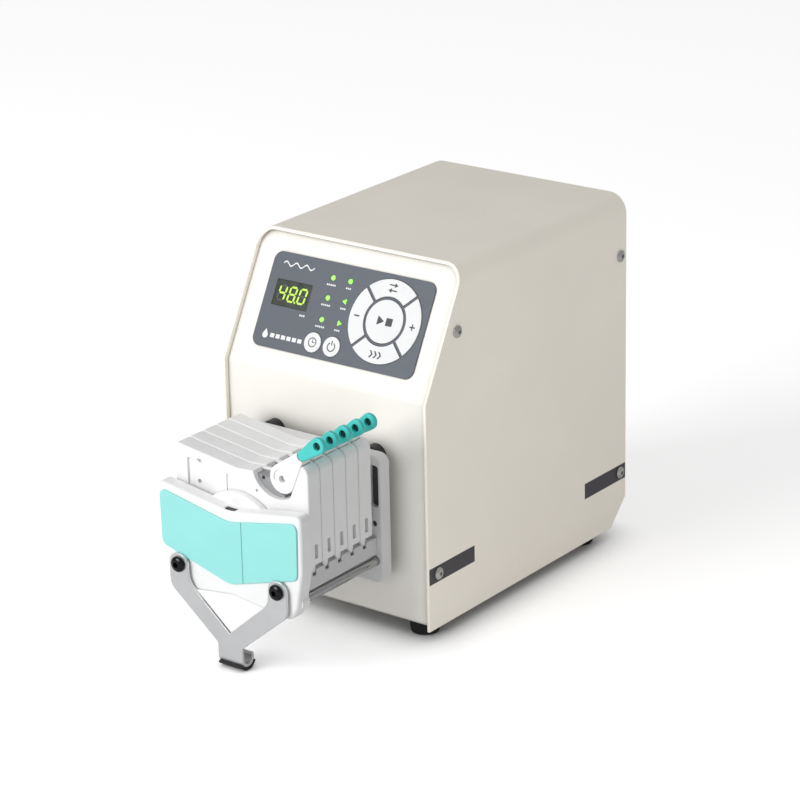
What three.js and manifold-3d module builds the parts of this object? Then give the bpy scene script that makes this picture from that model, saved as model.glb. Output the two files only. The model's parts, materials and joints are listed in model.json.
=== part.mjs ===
// Bench-top peristaltic pump: a sheet-metal drive with a sloped keypad, and a five-channel
// pump head whose tube cartridges snap onto two rails in front of the drive.
//
// Millimetres, +Z up.  The front faces -Y.  The origin is on the table, under the middle of
// the whole object.  The drive is drawn from the middle of the front bottom edge of its
// cover.  The head is drawn from the point where the rotor's axis crosses that front edge.

import * as THREE from 'three';
import { mergeVertices } from 'three/addons/utils/BufferGeometryUtils.js';
import Module from 'manifold-3d';

// ---- Driving dimensions ------------------------------------------------------------------

const GAP = 0.1; // between fixed pieces that rest on each other
const PLAY = 0.3; // round a piece that moves, or that drops into an opening

// Drive housing
const WIDTH = 158;
const DEPTH = 219.5;
const HEIGHT = 225.5;
const SLOPE_FOOT = 148; // height at which the front starts to lean back
const SLOPE_RUN = 42; // how far back the slope has gone at the top
const CHAMFER = 17.5; // lower rear corner
const BEND_RADIUS = 13;
const COVER_SHEET = 2;
const CHASSIS_SHEET = 1.5;
const CHASSIS_PLAY = 0.2; // between the cover and the bent sheet inside it
const RECESS = 3.2; // front and rear panels, behind the cover's edge
const BASE_LIFT = 1.6; // base sheet above the cover's bottom edge
const FLANGE = 14;
const FOOT_HEIGHT = 8;
const FOOT_RADIUS = 10;
const FOOT_X = 63;
const FOOT_YS = [17, 188];
const COVER_SCREW = { head: 4, rise: 2.1, shank: 1.95, length: 5, socket: 1.4, hole: 2.3 };
const COVER_SCREWS = [
  { place: 'front_lower', y: 10, z: 36.5 },
  { place: 'front_upper', y: 33, z: 186 },
  { place: 'rear_lower', y: 212, z: 36.5 },
  { place: 'rear_upper', y: 212, z: 186 },
];
const FOOT_STEM = 3;
const FOOT_BORE = { radius: 3.5, depth: 4 };
const SHAFT_OPENING = 12;
const REAR_VENTS = { count: 9, pitch: 9, width: 3, low: 150, high: 190 };
const BASE_VENTS = { count: 7, pitch: 10, width: 3, halfLength: 22, start: 70 };
const INLET = { x: -38, z: 48, halfWidth: 24, halfHeight: 30, depth: 26, flange: 2 };
const INLET_BODY = { halfWidth: 20, halfHeight: 26, play: 1.5 };
const INLET_WELL = { halfWidth: 12, low: -22, high: -6, bevel: 4, depth: 14 };
const INLET_PIN = { half: 1, halfHeight: 2, length: 14, spread: 7, low: -15.5, high: -11.5 };
const ROCKER_WINDOW = { halfWidth: 14, low: 4, high: 20, depth: 20 };
const ROCKER = { rise: 12, halfWidth: 13.4, halfHeight: 6.8, tilt: THREE.MathUtils.degToRad(8) };
const ROCKER_FACE = { edge: 4.2, valley: 2.6, back: -5, backHalf: 4 };

// Keypad, measured along the slope from the front bend of the panel
const OVERLAY = { halfWidth: 62.3, low: 12.4, high: 73.3, radius: 6, thickness: 0.9 };
const DISPLAY = { left: -55.2, right: -27.5, low: 39.4, high: 56 };
const CLUSTER = { x: 32.2, s: 43.8, outer: 26.5, inner: 15.6, centre: 13.6, gap: 2 };
const SMALL_KEY_RADIUS = 6.3;
const SMALL_KEYS = [
  { name: 'key_timer', x: -15.9, s: 21.6 },
  { name: 'key_power', x: -1.2, s: 21.6 },
];
const KEY_PROUD = 0.7; // above the overlay
const KEY_BELOW = 1.3; // each key reaches this far behind the panel's face
const KEY_OPENING = 0.7; // round a key, in the sheet behind the overlay
const LED_OPENING = 0.6;
const LED_RADIUS = 1.6;
const LED_LEFT_X = -14.2;
const LED_RIGHT_X = -0.8;
const LED_ROWS = [63.4, 50.5, 36.7];
const LED_WINDOW = 0.15; // round a light post, in the overlay
const GUIDE_STRIP = { left: -18, right: 3, low: 33, high: 67, bottom: -4, top: -2 };
const BOARD = { left: -58, right: 60, low: 14, high: 70, bottom: -9, top: -7.4 };
const DOME_SWITCH = { radius: 3, top: -2.6 };

// Shaft, rotor and rollers
const SHAFT_HEIGHT = 70; // rotor axis above the cover's bottom edge
const SHAFT_RADIUS = 5;
const ROLLER_COUNT = 6;
const ROLLER_RADIUS = 5.5;
const ROLLER_PITCH_RADIUS = 22.5;
const ROLLER_PIN_RADIUS = 2;
const ROTOR_RADIUS = 27;
const ROTOR_DISC = 2.5;
const ROTOR_HUB = 9;
const MOTOR_SIDE = 57;
const MOTOR_LENGTH = 76;
const MOTOR_PILOT = 11.3;
const SHAFT_IN_MOTOR = 20;

// Power supply, an open-frame board on a plate
const SUPPLY = { left: -5, right: 65, front: 90, rear: 170, plate: 2, post: 6, board: 1.6 };
const SUPPLY_POST = { half: 2.5, inset: 5 };
const TRANSFORMER = { left: 20, right: 48, front: 112, rear: 142, height: 25 };
const HEAT_SINK = { left: 4, right: 8, front: 100, rear: 160, height: 23 };
const CAPACITOR = { x: 36, y: 156, radius: 8, height: 25 };

// Cartridges, front to rear
const CHANNELS = 5;
const PITCH = 12.2;
const CARTRIDGE_WIDTH = 11.9;
const CARTRIDGES_FRONT = -80;
const CARTRIDGE_HALF = 52;
const CARTRIDGE_BOTTOM = -5;
const ARCH_RADIUS = 31.5;
const TUBE_SLOT = { low: -0.7, high: 8.7, width: 3.6 };
const LATCH = { x: 46.5, z: -9.5, radius: 3, width: 5 };
const DOWEL_HOLE = { x: -33, z: 31.4, radius: 1.5, depth: 5 };

// Occlusion levers: hub, narrow neck and pull ring, measured from the pivot
const PIVOT = { x: 32, z: 47.3, pin: 1.8 };
const LEVER_HUB = 9.4;
const NECK = { x: 13, z: 16, radius: 3.4 };
const RING = { x: 27, z: 26.3, radius: 5.2, hole: 2.6, thickness: 3.6 };
const LEVER_THICKNESS = 8;
const LEVER_INSET = 0.4; // behind the cartridge's face
const POCKET = { x: 28.4, z: 53.1, radius: 19.1, depth: 9, above: 75 };
const POCKET_WALL = { x: 41.4, z: 43.5, angle: THREE.MathUtils.degToRad(67.8) };

// Head frame
const COVER_HALF = 55.6;
const COVER_FRONT = -92.5;
const COVER_REAR = -83;
const COVER_WALL = 2.5;
const PLATE_FRONT = -13;
const PLATE_REAR = -4;
const ROD = { x: 48.5, z: -24.5, radius: 3, socket: 4 };
const RAIL = { inner: 43.5, outer: 50, bottom: -19.5, seat: -13, crest: -8.5, tooth: 6.6 };
const PLATE = { half: 54, bottom: -39, top: 44, corner: 6 };
const PLATE_BOSS = { radius: 30.5, rise: 4.2 };
const COVER_BOSS = { radius: 33, rise: 2.5 };
const COVER_FACE = 3.5; // thickness of the cover's front wall
const COVER_SLOT = { half: 4.4, front: -91, rear: -86.5, low: 18, high: 30 };
const ROD_BOSS = 4.6;
const HEAD_MOUNT = { x: 39.3, z: 38, radius: 7.2 };
const PANEL_GROOVE = { left: 10.4, right: 11.1, depth: 0.5 };
const PANEL_THICKNESS = 1.1;
const BRACKET_SHEET = 2;
const BRACKET_SCREW = { x: 38.2, z: -18, head: 5, rise: 3, shank: 2.3, length: 8, socket: 1.7 };
const BRACKET_HOLE = 2.7;
const BRACKET_EYE = 6.8; // rounded end of each arm
const BRACKET_FOOT = { half: 9.5, curl: 5.5, lift: 0.5, pad: 2 };
const CURL_TURN = THREE.MathUtils.degToRad(207);
const PAD_START = THREE.MathUtils.degToRad(220);
const PAD_END = THREE.MathUtils.degToRad(335);

const PANEL_FACE = COVER_FRONT - GAP - PANEL_THICKNESS;
const BRACKET_FACE = PANEL_FACE - GAP - BRACKET_SHEET;
const FRONT_REACH = -(BRACKET_FACE - GAP - BRACKET_SCREW.rise);

// ---- Materials ---------------------------------------------------------------------------

function material(color, roughness, metalness = 0) {
  return new THREE.MeshStandardMaterial({ color, roughness, metalness });
}

const PAINT = material(0xd8d3c7, 0.5);
const PANEL_PAINT = material(0xf3f1ea, 0.45);
const WHITE_PLASTIC = material(0xeeeff0, 0.4);
const GREY_PLASTIC = material(0xb9bbbe, 0.5);
const TEAL_PANEL = material(0xa0e9e6, 0.35);
const TEAL_PLASTIC = material(0x48c8c3, 0.4);
const OVERLAY_GREY = material(0x70767f, 0.5);
const KEY_WHITE = material(0xf5f5f5, 0.5);
const DISPLAY_SMOKE = material(0x28321e, 0.1);
const LED_GREEN = material(0x8ce650, 0.3);
const STEEL = material(0xc4c6c8, 0.3, 1);
const SATIN_STEEL = material(0xb4b6b9, 0.4, 1);
const BLACK_STEEL = material(0x111214, 0.25, 0.6);
const BLACK_PLASTIC = material(0x17181a, 0.5);
const RUBBER = material(0x141517, 0.85);
const MOTOR_BLACK = material(0x26282b, 0.5, 0.5);
const BOARD_GREEN = material(0x1f5a3a, 0.5);

// ---- Outlines ----------------------------------------------------------------------------

const SMALL_RADIUS = 3; // below this, an arc needs only 45 degree steps

function arcPoints(x, y, radius, start, end, steps) {
  return Array.from({ length: steps + 1 }, (_, i) => {
    const angle = start + ((end - start) * i) / steps;
    return new THREE.Vector2(x + radius * Math.cos(angle), y + radius * Math.sin(angle));
  });
}

function circle(radius, x = 0, y = 0, steps = 24) {
  return arcPoints(x, y, radius, 0, 2 * Math.PI, steps).slice(0, -1);
}

// Corners are [x, y] or [x, y, radius], and a radius replaces the corner with an arc.
function outline(corners) {
  return corners.flatMap(([x, y, radius = 0], i) => {
    const here = new THREE.Vector2(x, y);
    if (radius === 0) {
      return [here];
    }
    const before = corners[(i + corners.length - 1) % corners.length];
    const after = corners[(i + 1) % corners.length];
    const back = new THREE.Vector2(before[0] - x, before[1] - y).normalize();
    const ahead = new THREE.Vector2(after[0] - x, after[1] - y).normalize();
    const half = Math.acos(back.dot(ahead)) / 2;
    const bisector = back.clone().add(ahead).normalize();
    const centre = here.clone().addScaledVector(bisector, radius / Math.sin(half));
    const reach = radius / Math.tan(half);
    const first = here.clone().addScaledVector(back, reach).sub(centre).angle();
    const last = here.clone().addScaledVector(ahead, reach).sub(centre).angle();
    const turn = Math.atan2(Math.sin(last - first), Math.cos(last - first));
    const stepAngle = THREE.MathUtils.degToRad(radius < SMALL_RADIUS ? 45 : 18);
    const steps = Math.max(2, Math.ceil(Math.abs(turn) / stepAngle));
    return arcPoints(centre.x, centre.y, radius, first, first + turn, steps);
  });
}

function rectangle(left, right, low, high, radius = 0) {
  return outline([
    [left, low, radius],
    [right, low, radius],
    [right, high, radius],
    [left, high, radius],
  ]);
}

// Both sides of a left-right symmetric outline, from the corners of its right half.
function mirrored(rightHalf) {
  const offAxis = rightHalf.filter(([x]) => x > 0).reverse();
  return [...rightHalf, ...offAxis.map(([x, y, radius]) => [-x, y, radius])];
}

// Two circles and their outer tangents: the shape of a lever or a link.
function link(from, fromRadius, to, toRadius, steps = 9) {
  const span = new THREE.Vector2().subVectors(to, from);
  const lean = Math.acos((fromRadius - toRadius) / span.length());
  const heading = span.angle();
  const round = 2 * Math.PI;
  return [
    ...arcPoints(from.x, from.y, fromRadius, heading + lean, heading - lean + round, steps),
    ...arcPoints(to.x, to.y, toRadius, heading - lean, heading + lean, steps),
  ];
}

// ---- Solids ------------------------------------------------------------------------------

const wasm = await Module();
wasm.setup();

function toManifold(geometry) {
  const bare = geometry.clone();
  bare.deleteAttribute('normal');
  bare.deleteAttribute('uv');
  const merged = mergeVertices(bare, 1e-4);
  const corners = merged.index.array;
  const triangles = [];
  for (let i = 0; i < corners.length; i += 3) {
    const [a, b, c] = corners.slice(i, i + 3);
    // A lathe leaves triangles at its poles with two corners in one place.
    if (a !== b && b !== c && c !== a) {
      triangles.push(a, b, c);
    }
  }
  const vertProperties = new Float32Array(merged.attributes.position.array);
  const triVerts = new Uint32Array(triangles);
  return new wasm.Manifold(new wasm.Mesh({ numProp: 3, vertProperties, triVerts }));
}

function toGeometry(manifold) {
  const mesh = manifold.getMesh();
  const geometry = new THREE.BufferGeometry();
  geometry.setAttribute('position', new THREE.BufferAttribute(mesh.vertProperties, 3));
  geometry.setIndex(new THREE.BufferAttribute(mesh.triVerts, 1));
  geometry.computeVertexNormals();
  return geometry;
}

function combine(operation, first, others) {
  const result = others.reduce((sum, other) => sum[operation](toManifold(other)), toManifold(first));
  return toGeometry(result);
}

function join(first, ...others) {
  return combine('add', first, others);
}

function cut(first, ...others) {
  return combine('subtract', first, others);
}

function common(first, ...others) {
  return combine('intersect', first, others);
}

function extrude(points, depth) {
  return new THREE.ExtrudeGeometry(new THREE.Shape(points), { depth, bevelEnabled: false });
}

// An (x, y) outline, from one height to another.
function slabZ(points, low, high) {
  return extrude(points, high - low).translate(0, 0, low);
}

// An (x, z) outline, from front to rear.
function slabY(points, front, rear) {
  return extrude(points, rear - front).rotateX(Math.PI / 2).translate(0, rear, 0);
}

// A (y, z) outline, from left to right.
function slabX(points, left, right) {
  const turn = new THREE.Matrix4().makeBasis(
    new THREE.Vector3(0, 1, 0),
    new THREE.Vector3(0, 0, 1),
    new THREE.Vector3(1, 0, 0),
  );
  return extrude(points, right - left).applyMatrix4(turn).translate(left, 0, 0);
}

function box(left, right, front, rear, low, high) {
  return new THREE.BoxGeometry(right - left, rear - front, high - low).translate(
    (left + right) / 2,
    (front + rear) / 2,
    (low + high) / 2,
  );
}

function discY(radius, x, z, front, rear, sides = 24) {
  return slabY(circle(radius, x, z, sides), front, rear);
}

// A profile of [radius, height] pairs turned about +Z.
function turned(profile, sides = 16) {
  const points = profile.map(([radius, height]) => new THREE.Vector2(radius, height));
  return new THREE.LatheGeometry(points, sides).rotateX(Math.PI / 2);
}

// A domed button-head screw along +Z, with a hex socket; its head rests on z = 0.
function buttonScrew({ head, rise, shank, length, socket }) {
  const dome = arcPoints(0, 0, 1, 0, Math.PI / 2, 3).map((p) => [head * p.x, rise * (0.25 + 0.75 * p.y)]);
  dome[dome.length - 1][0] = 0;
  const body = turned([[0, -length], [shank, -length], [shank, 0], [head, 0], ...dome], 12);
  const hexagon = slabZ(circle(socket, 0, 0, 6), rise * 0.4, rise + 1);
  return cut(body, hexagon);
}

function add(group, name, geometry, finish) {
  const mesh = new THREE.Mesh(geometry, finish);
  mesh.name = name;
  group.add(mesh);
  return mesh;
}

// ---- Drive housing -----------------------------------------------------------------------

// The drive's side outline in (y, z), with each edge moved inwards by its own distance.
function sideOutline({ front = 0, top = 0, rear = 0, bottom = 0 }) {
  const corners = [
    [0, 0],
    [DEPTH - CHAMFER, 0],
    [DEPTH, CHAMFER],
    [DEPTH, HEIGHT],
    [SLOPE_RUN, HEIGHT],
    [0, SLOPE_FOOT],
  ].map(([y, z]) => new THREE.Vector2(y, z));
  const insets = [bottom, rear, rear, top, front, front];
  const edges = corners.map((start, i) => {
    const end = corners[(i + 1) % corners.length];
    const along = end.clone().sub(start).normalize();
    const inwards = new THREE.Vector2(-along.y, along.x);
    return { point: start.clone().addScaledVector(inwards, insets[i]), along };
  });
  return edges.map((edge, i) => {
    const previous = edges[(i + edges.length - 1) % edges.length];
    const offset = edge.point.clone().sub(previous.point);
    const distance = offset.cross(edge.along) / previous.along.cross(edge.along);
    return previous.point.clone().addScaledVector(previous.along, distance);
  });
}

// The space inside the cover's bend, across the whole depth.
function archway(inset) {
  const half = WIDTH / 2 - inset;
  const radius = BEND_RADIUS - inset;
  const top = HEIGHT - inset;
  const corners = [[half, -1], [half, top, radius], [-half, top, radius], [-half, -1]];
  return slabY(outline(corners), -1, DEPTH + 1);
}

function screwHoles() {
  return COVER_SCREWS.map(({ y, z }) => {
    return slabX(circle(COVER_SCREW.hole, y, z, 8), -WIDTH / 2 - 1, WIDTH / 2 + 1);
  });
}

function topCover() {
  const block = slabX(sideOutline({}), -WIDTH / 2, WIDTH / 2);
  const formed = common(block, archway(0));
  return cut(formed, archway(COVER_SHEET), ...screwHoles());
}

function placeOnSlope(object) {
  const panelBend = sideOutline({ front: RECESS })[5];
  object.position.set(0, panelBend.x, panelBend.y);
  object.rotation.x = Math.atan2(HEIGHT - SLOPE_FOOT, SLOPE_RUN);
  object.updateMatrix();
  return object;
}

function slopeOpenings() {
  const low = -2 * CHASSIS_SHEET;
  const keyRadius = SMALL_KEY_RADIUS + KEY_OPENING;
  const keys = SMALL_KEYS.map(({ x, s }) => slabZ(circle(keyRadius, x, s, 16), low, 1));
  const leds = ledPlaces().map(({ x, s }) => slabZ(circle(LED_RADIUS + LED_OPENING, x, s, 8), low, 1));
  const ring = slabZ(circle(CLUSTER.outer + KEY_OPENING, CLUSTER.x, CLUSTER.s, 28), low, 1);
  const { left, right, low: bottom, high } = DISPLAY;
  const display = slabZ(rectangle(left - PLAY, right + PLAY, bottom - PLAY, high + PLAY), low, 1);
  const slope = placeOnSlope(new THREE.Object3D()).matrix;
  return [...keys, ...leds, ring, display].map((tool) => tool.applyMatrix4(slope));
}

function rearOpenings() {
  const outside = DEPTH + 1;
  const inside = DEPTH - RECESS - CHASSIS_SHEET - 1;
  const { x, z } = INLET;
  const across = INLET_BODY.halfWidth + INLET_BODY.play;
  const up = INLET_BODY.halfHeight + INLET_BODY.play;
  const inlet = box(x - across, x + across, inside, outside, z - up, z + up);
  const { count, pitch, width, low, high } = REAR_VENTS;
  const slots = Array.from({ length: count }, (_, i) => {
    const left = (i - (count - 1) / 2) * pitch - width / 2;
    return box(left, left + width, inside, outside, low, high);
  });
  return [inlet, ...slots];
}

function baseOpenings() {
  const low = 0;
  const high = BASE_LIFT + CHASSIS_SHEET + 1;
  const feet = [-FOOT_X, FOOT_X].flatMap((x) => {
    return FOOT_YS.map((y) => slabZ(circle(FOOT_STEM + PLAY, x, y, 10), low, high));
  });
  const { count, pitch, width, halfLength, start } = BASE_VENTS;
  const slots = Array.from({ length: count }, (_, i) => {
    const front = start + i * pitch - width / 2;
    return box(-halfLength, halfLength, front, front + width, low, high);
  });
  return [...feet, ...slots];
}

// Front, slope, base and rear are one bent sheet, with flanges for the cover's screws.
function chassis() {
  const under = COVER_SHEET + CHASSIS_PLAY;
  const half = WIDTH / 2 - under;
  const skin = { front: RECESS, top: under, rear: RECESS, bottom: BASE_LIFT };
  const inner = {
    front: RECESS + CHASSIS_SHEET,
    top: -10,
    rear: RECESS + CHASSIS_SHEET,
    bottom: BASE_LIFT + CHASSIS_SHEET,
  };
  const open = { front: FLANGE, top: FLANGE, rear: FLANGE, bottom: FLANGE };
  const sheet = cut(slabX(sideOutline(skin), -half, half), slabX(sideOutline(inner), -half - 1, half + 1));
  const flanges = [-half, half - CHASSIS_SHEET].map((left) => {
    const right = left + CHASSIS_SHEET;
    return cut(slabX(sideOutline(skin), left, right), slabX(sideOutline(open), left - 1, right + 1));
  });
  const bent = common(join(sheet, ...flanges), archway(under));
  const shaftHole = discY(SHAFT_OPENING, 0, SHAFT_HEIGHT, -1, FLANGE, 20);
  return cut(bent, shaftHole, ...screwHoles(), ...slopeOpenings(), ...rearOpenings(), ...baseOpenings());
}

function rubberFoot() {
  const top = BASE_LIFT - GAP;
  const { radius: bore, depth } = FOOT_BORE;
  return turned([
    [0, -FOOT_HEIGHT + depth],
    [bore, -FOOT_HEIGHT + depth],
    [bore, -FOOT_HEIGHT],
    [FOOT_RADIUS - 1.5, -FOOT_HEIGHT],
    [FOOT_RADIUS - 0.6, -FOOT_HEIGHT + 0.8],
    [FOOT_RADIUS, top],
    [FOOT_STEM, top],
    [FOOT_STEM, top + 4],
    [0, top + 4],
  ]);
}

function addFasteners(drive) {
  const screw = buttonScrew(COVER_SCREW);
  for (const { place, y, z } of COVER_SCREWS) {
    for (const [side, sign] of [['right', 1], ['left', -1]]) {
      const mesh = add(drive, `cover_screw_${side}_${place}`, screw, STEEL);
      mesh.position.set(sign * (WIDTH / 2 + GAP), y, z);
      mesh.rotation.y = (sign * Math.PI) / 2;
    }
  }
  const foot = rubberFoot();
  for (const [end, y] of [['front', FOOT_YS[0]], ['rear', FOOT_YS[1]]]) {
    add(drive, `foot_${end}_left`, foot, RUBBER).position.set(-FOOT_X, y, 0);
    add(drive, `foot_${end}_right`, foot, RUBBER).position.set(FOOT_X, y, 0);
  }
}

// ---- Inside the drive --------------------------------------------------------------------

function motor() {
  const front = RECESS + CHASSIS_SHEET + GAP;
  const half = MOTOR_SIDE / 2;
  const body = slabY(rectangle(-half, half, -half, half, 4), front, front + MOTOR_LENGTH);
  const pilot = discY(MOTOR_PILOT, 0, 0, RECESS, front + 1, 20);
  const boreEnd = front + SHAFT_IN_MOTOR + 2;
  const bore = discY(SHAFT_RADIUS + 0.25, 0, 0, RECESS - 1, boreEnd, 16);
  return cut(join(body, pilot), bore).translate(0, 0, SHAFT_HEIGHT);
}

// An open-frame supply: a plate, four posts, a board and its three tallest components.
function powerSupply() {
  const { left, right, front, rear, plate, post, board } = SUPPLY;
  const low = BASE_LIFT + CHASSIS_SHEET + GAP;
  const boardTop = low + post + board;
  const standing = ({ left: a, right: b, front: c, rear: d, height }) => {
    return box(a, b, c, d, boardTop - 1, boardTop + height);
  };
  const { half, inset } = SUPPLY_POST;
  const posts = [left + inset, right - inset].flatMap((x) => {
    return [front + inset, rear - inset].map((y) => {
      return box(x - half, x + half, y - half, y + half, low + 1, low + post + 1);
    });
  });
  const { x, y, radius, height } = CAPACITOR;
  const capacitor = turned([[0, -1], [radius, -1], [radius, height], [0, height]], 12);
  return join(
    box(left, right, front, rear, low, low + plate),
    ...posts,
    box(left, right, front, rear, low + post, boardTop),
    standing(TRANSFORMER),
    standing(HEAT_SINK),
    capacitor.translate(x, y, boardTop),
  );
}

// Mains inlet with a well for the plug, three pins, and a window for the rocker switch.
function powerInlet() {
  const face = DEPTH - RECESS + GAP;
  const proud = face + INLET.flange + 1;
  const { x, z, halfWidth, halfHeight, depth } = INLET;
  const edge = rectangle(-halfWidth, halfWidth, -halfHeight, halfHeight, 2);
  const flange = slabY(edge, face, face + INLET.flange);
  const { halfWidth: across, halfHeight: up } = INLET_BODY;
  const body = box(-across, across, face - depth, face + 1, -up, up);
  const { halfWidth: half, low, high, bevel } = INLET_WELL;
  const opening = outline([
    [-half, low],
    [half, low],
    [half, high - bevel],
    [half - bevel, high],
    [-half + bevel, high],
    [-half, high - bevel],
  ]);
  const well = slabY(opening, face - INLET_WELL.depth, proud);
  const { half: thin, halfHeight: tall, length, spread } = INLET_PIN;
  const pins = [-spread, 0, spread].map((pinX) => {
    const pinZ = pinX === 0 ? INLET_PIN.high : INLET_PIN.low;
    const back = face - INLET_WELL.depth - 2;
    return box(pinX - thin, pinX + thin, back, back + length, pinZ - tall, pinZ + tall);
  });
  const { halfWidth: wide, low: sill, high: lintel, depth: behind } = ROCKER_WINDOW;
  const window = box(-wide, wide, face - behind, proud, sill, lintel);
  return join(cut(join(flange, body), well, window), ...pins).translate(x, 0, z);
}

// A rocker: a round-backed bar with a shallow V face, drawn about its own pivot.
function rocker() {
  const { halfHeight, halfWidth } = ROCKER;
  const { edge, valley, back, backHalf } = ROCKER_FACE;
  const sideView = outline([
    [edge, -halfHeight, 0.5],
    [valley, 0],
    [edge, halfHeight, 0.5],
    [back, backHalf, 1.5],
    [back, -backHalf, 1.5],
  ]);
  return slabX(sideView, -halfWidth, halfWidth);
}

// ---- Keypad ------------------------------------------------------------------------------

function ledPlaces() {
  const [top, middle, bottom] = LED_ROWS;
  return [
    { x: LED_LEFT_X, s: top, sides: 8 },
    { x: LED_LEFT_X, s: middle, sides: 8 },
    { x: LED_LEFT_X, s: bottom, sides: 8 },
    { x: LED_RIGHT_X, s: top, sides: 8 },
    { x: LED_RIGHT_X, s: middle, sides: 3, turn: Math.PI },
    { x: LED_RIGHT_X, s: bottom, sides: 3, turn: 0 },
  ];
}

function ledOutline({ x, s, sides, turn = 0 }, extra) {
  const radius = (sides === 3 ? LED_RADIUS * 1.25 : LED_RADIUS) + extra;
  return arcPoints(x, s, radius, turn, turn + 2 * Math.PI, sides).slice(0, -1);
}

// One quarter of the key ring, between two straight gaps at 45 degrees.
function sectorOutline(heading, extra) {
  const halfGap = CLUSTER.gap / 2 - extra;
  const outer = CLUSTER.outer + extra;
  const inner = CLUSTER.inner - extra;
  const outerHalf = Math.PI / 4 - Math.asin(halfGap / outer);
  const innerHalf = Math.PI / 4 - Math.asin(halfGap / inner);
  const { x, s } = CLUSTER;
  return [
    ...arcPoints(x, s, outer, heading - outerHalf, heading + outerHalf, 9),
    ...arcPoints(x, s, inner, heading + innerHalf, heading - innerHalf, 6),
  ];
}

function keyOutlines(extra) {
  const quarter = Math.PI / 2;
  return {
    key_plus: sectorOutline(0, extra),
    key_reverse: sectorOutline(quarter, extra),
    key_minus: sectorOutline(2 * quarter, extra),
    key_prime: sectorOutline(3 * quarter, extra),
    key_start_stop: circle(CLUSTER.centre + extra, CLUSTER.x, CLUSTER.s, 24),
    ...Object.fromEntries(
      SMALL_KEYS.map(({ name, x, s }) => [name, circle(SMALL_KEY_RADIUS + extra, x, s, 16)]),
    ),
  };
}

function keypadOverlay() {
  const { halfWidth, low, high, radius, thickness } = OVERLAY;
  const sheet = slabZ(rectangle(-halfWidth, halfWidth, low, high, radius), GAP, GAP + thickness);
  const keys = Object.values(keyOutlines(PLAY)).map((points) => slabZ(points, -1, 3));
  const leds = ledPlaces().map((place) => slabZ(ledOutline(place, LED_WINDOW), -1, 3));
  const { left, right, low: bottom, high: top } = DISPLAY;
  const window = slabZ(rectangle(left, right, bottom, top), -1, 3);
  return cut(sheet, ...keys, ...leds, window);
}

function displayWindow() {
  const { left, right, low, high } = DISPLAY;
  const pane = rectangle(left + GAP, right - GAP, low + GAP, high - GAP);
  return slabZ(pane, -5, GAP + OVERLAY.thickness - 0.2);
}

function lightGuide() {
  const { left, right, low, high, bottom, top } = GUIDE_STRIP;
  const strip = slabZ(rectangle(left, right, low, high, 1), bottom, top);
  const posts = ledPlaces().map((place) => {
    return slabZ(ledOutline(place, 0), top - 1, GAP + OVERLAY.thickness);
  });
  return join(strip, ...posts);
}

function controlBoard() {
  const { left, right, low, high, bottom, top } = BOARD;
  const board = slabZ(rectangle(left, right, low, high, 2), bottom, top);
  const { x, s } = CLUSTER;
  const reach = (CLUSTER.outer + CLUSTER.inner) / 2;
  const domes = [[x, s], [x + reach, s], [x - reach, s], [x, s + reach], [x, s - reach]];
  domes.push(...SMALL_KEYS.map((key) => [key.x, key.s]));
  const switches = domes.map(([cx, cy]) => {
    return slabZ(circle(DOME_SWITCH.radius, cx, cy, 8), top - 0.6, DOME_SWITCH.top);
  });
  return join(board, ...switches);
}

function addKeypad(drive) {
  const keypad = placeOnSlope(new THREE.Group());
  add(keypad, 'keypad_overlay', keypadOverlay(), OVERLAY_GREY);
  add(keypad, 'display_window', displayWindow(), DISPLAY_SMOKE);
  add(keypad, 'led_light_guide', lightGuide(), LED_GREEN);
  add(keypad, 'control_board', controlBoard(), BOARD_GREEN);
  const top = GAP + OVERLAY.thickness + KEY_PROUD;
  for (const [name, points] of Object.entries(keyOutlines(0))) {
    add(keypad, name, slabZ(points, -KEY_BELOW, top), KEY_WHITE);
  }
  drive.add(keypad);
}

function buildDrive() {
  const drive = new THREE.Group();
  add(drive, 'top_cover', topCover(), PAINT);
  add(drive, 'chassis', chassis(), PANEL_PAINT);
  addFasteners(drive);
  add(drive, 'motor', motor(), MOTOR_BLACK);
  add(drive, 'power_supply', powerSupply(), BOARD_GREEN);
  add(drive, 'power_inlet', powerInlet(), BLACK_PLASTIC);
  const rockerMesh = add(drive, 'power_switch', rocker(), BLACK_PLASTIC);
  rockerMesh.position.set(INLET.x, DEPTH - RECESS - 2, INLET.z + ROCKER.rise);
  rockerMesh.rotation.x = ROCKER.tilt;
  addKeypad(drive);
  return drive;
}

// ---- Pump head: frame --------------------------------------------------------------------

function backPlate() {
  const { half, bottom, top, corner } = PLATE;
  const plate = slabY(rectangle(-half, half, bottom, top, corner), PLATE_FRONT, PLATE_REAR);
  const bossFront = PLATE_FRONT - PLATE_BOSS.rise;
  const boss = discY(PLATE_BOSS.radius, 0, 0, bossFront, PLATE_FRONT + 1, 32);
  const bore = discY(SHAFT_RADIUS + PLAY, 0, 0, bossFront - 1, PLATE_REAR + 1, 16);
  const sockets = rodSockets(PLATE_FRONT - 1, PLATE_FRONT + ROD.socket);
  return cut(join(plate, boss), bore, ...sockets);
}

function rodSockets(front, rear) {
  return [-ROD.x, ROD.x].map((x) => discY(ROD.radius + 0.15, x, ROD.z, front, rear, 12));
}

// The front cover's outline: a dropped V at the top, drawn-in sides and an arched bottom.
function coverOutline(inset) {
  return outline(mirrored([
    [0, -30.7 + inset, 20],
    [46 - inset, -36.5 + inset, 7],
    [51 - inset, -28, 8],
    [COVER_HALF - inset, -4, 30],
    [COVER_HALF - inset, 32.5 - inset, 4],
    [0, 24 - inset, 25],
  ]));
}

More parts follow.
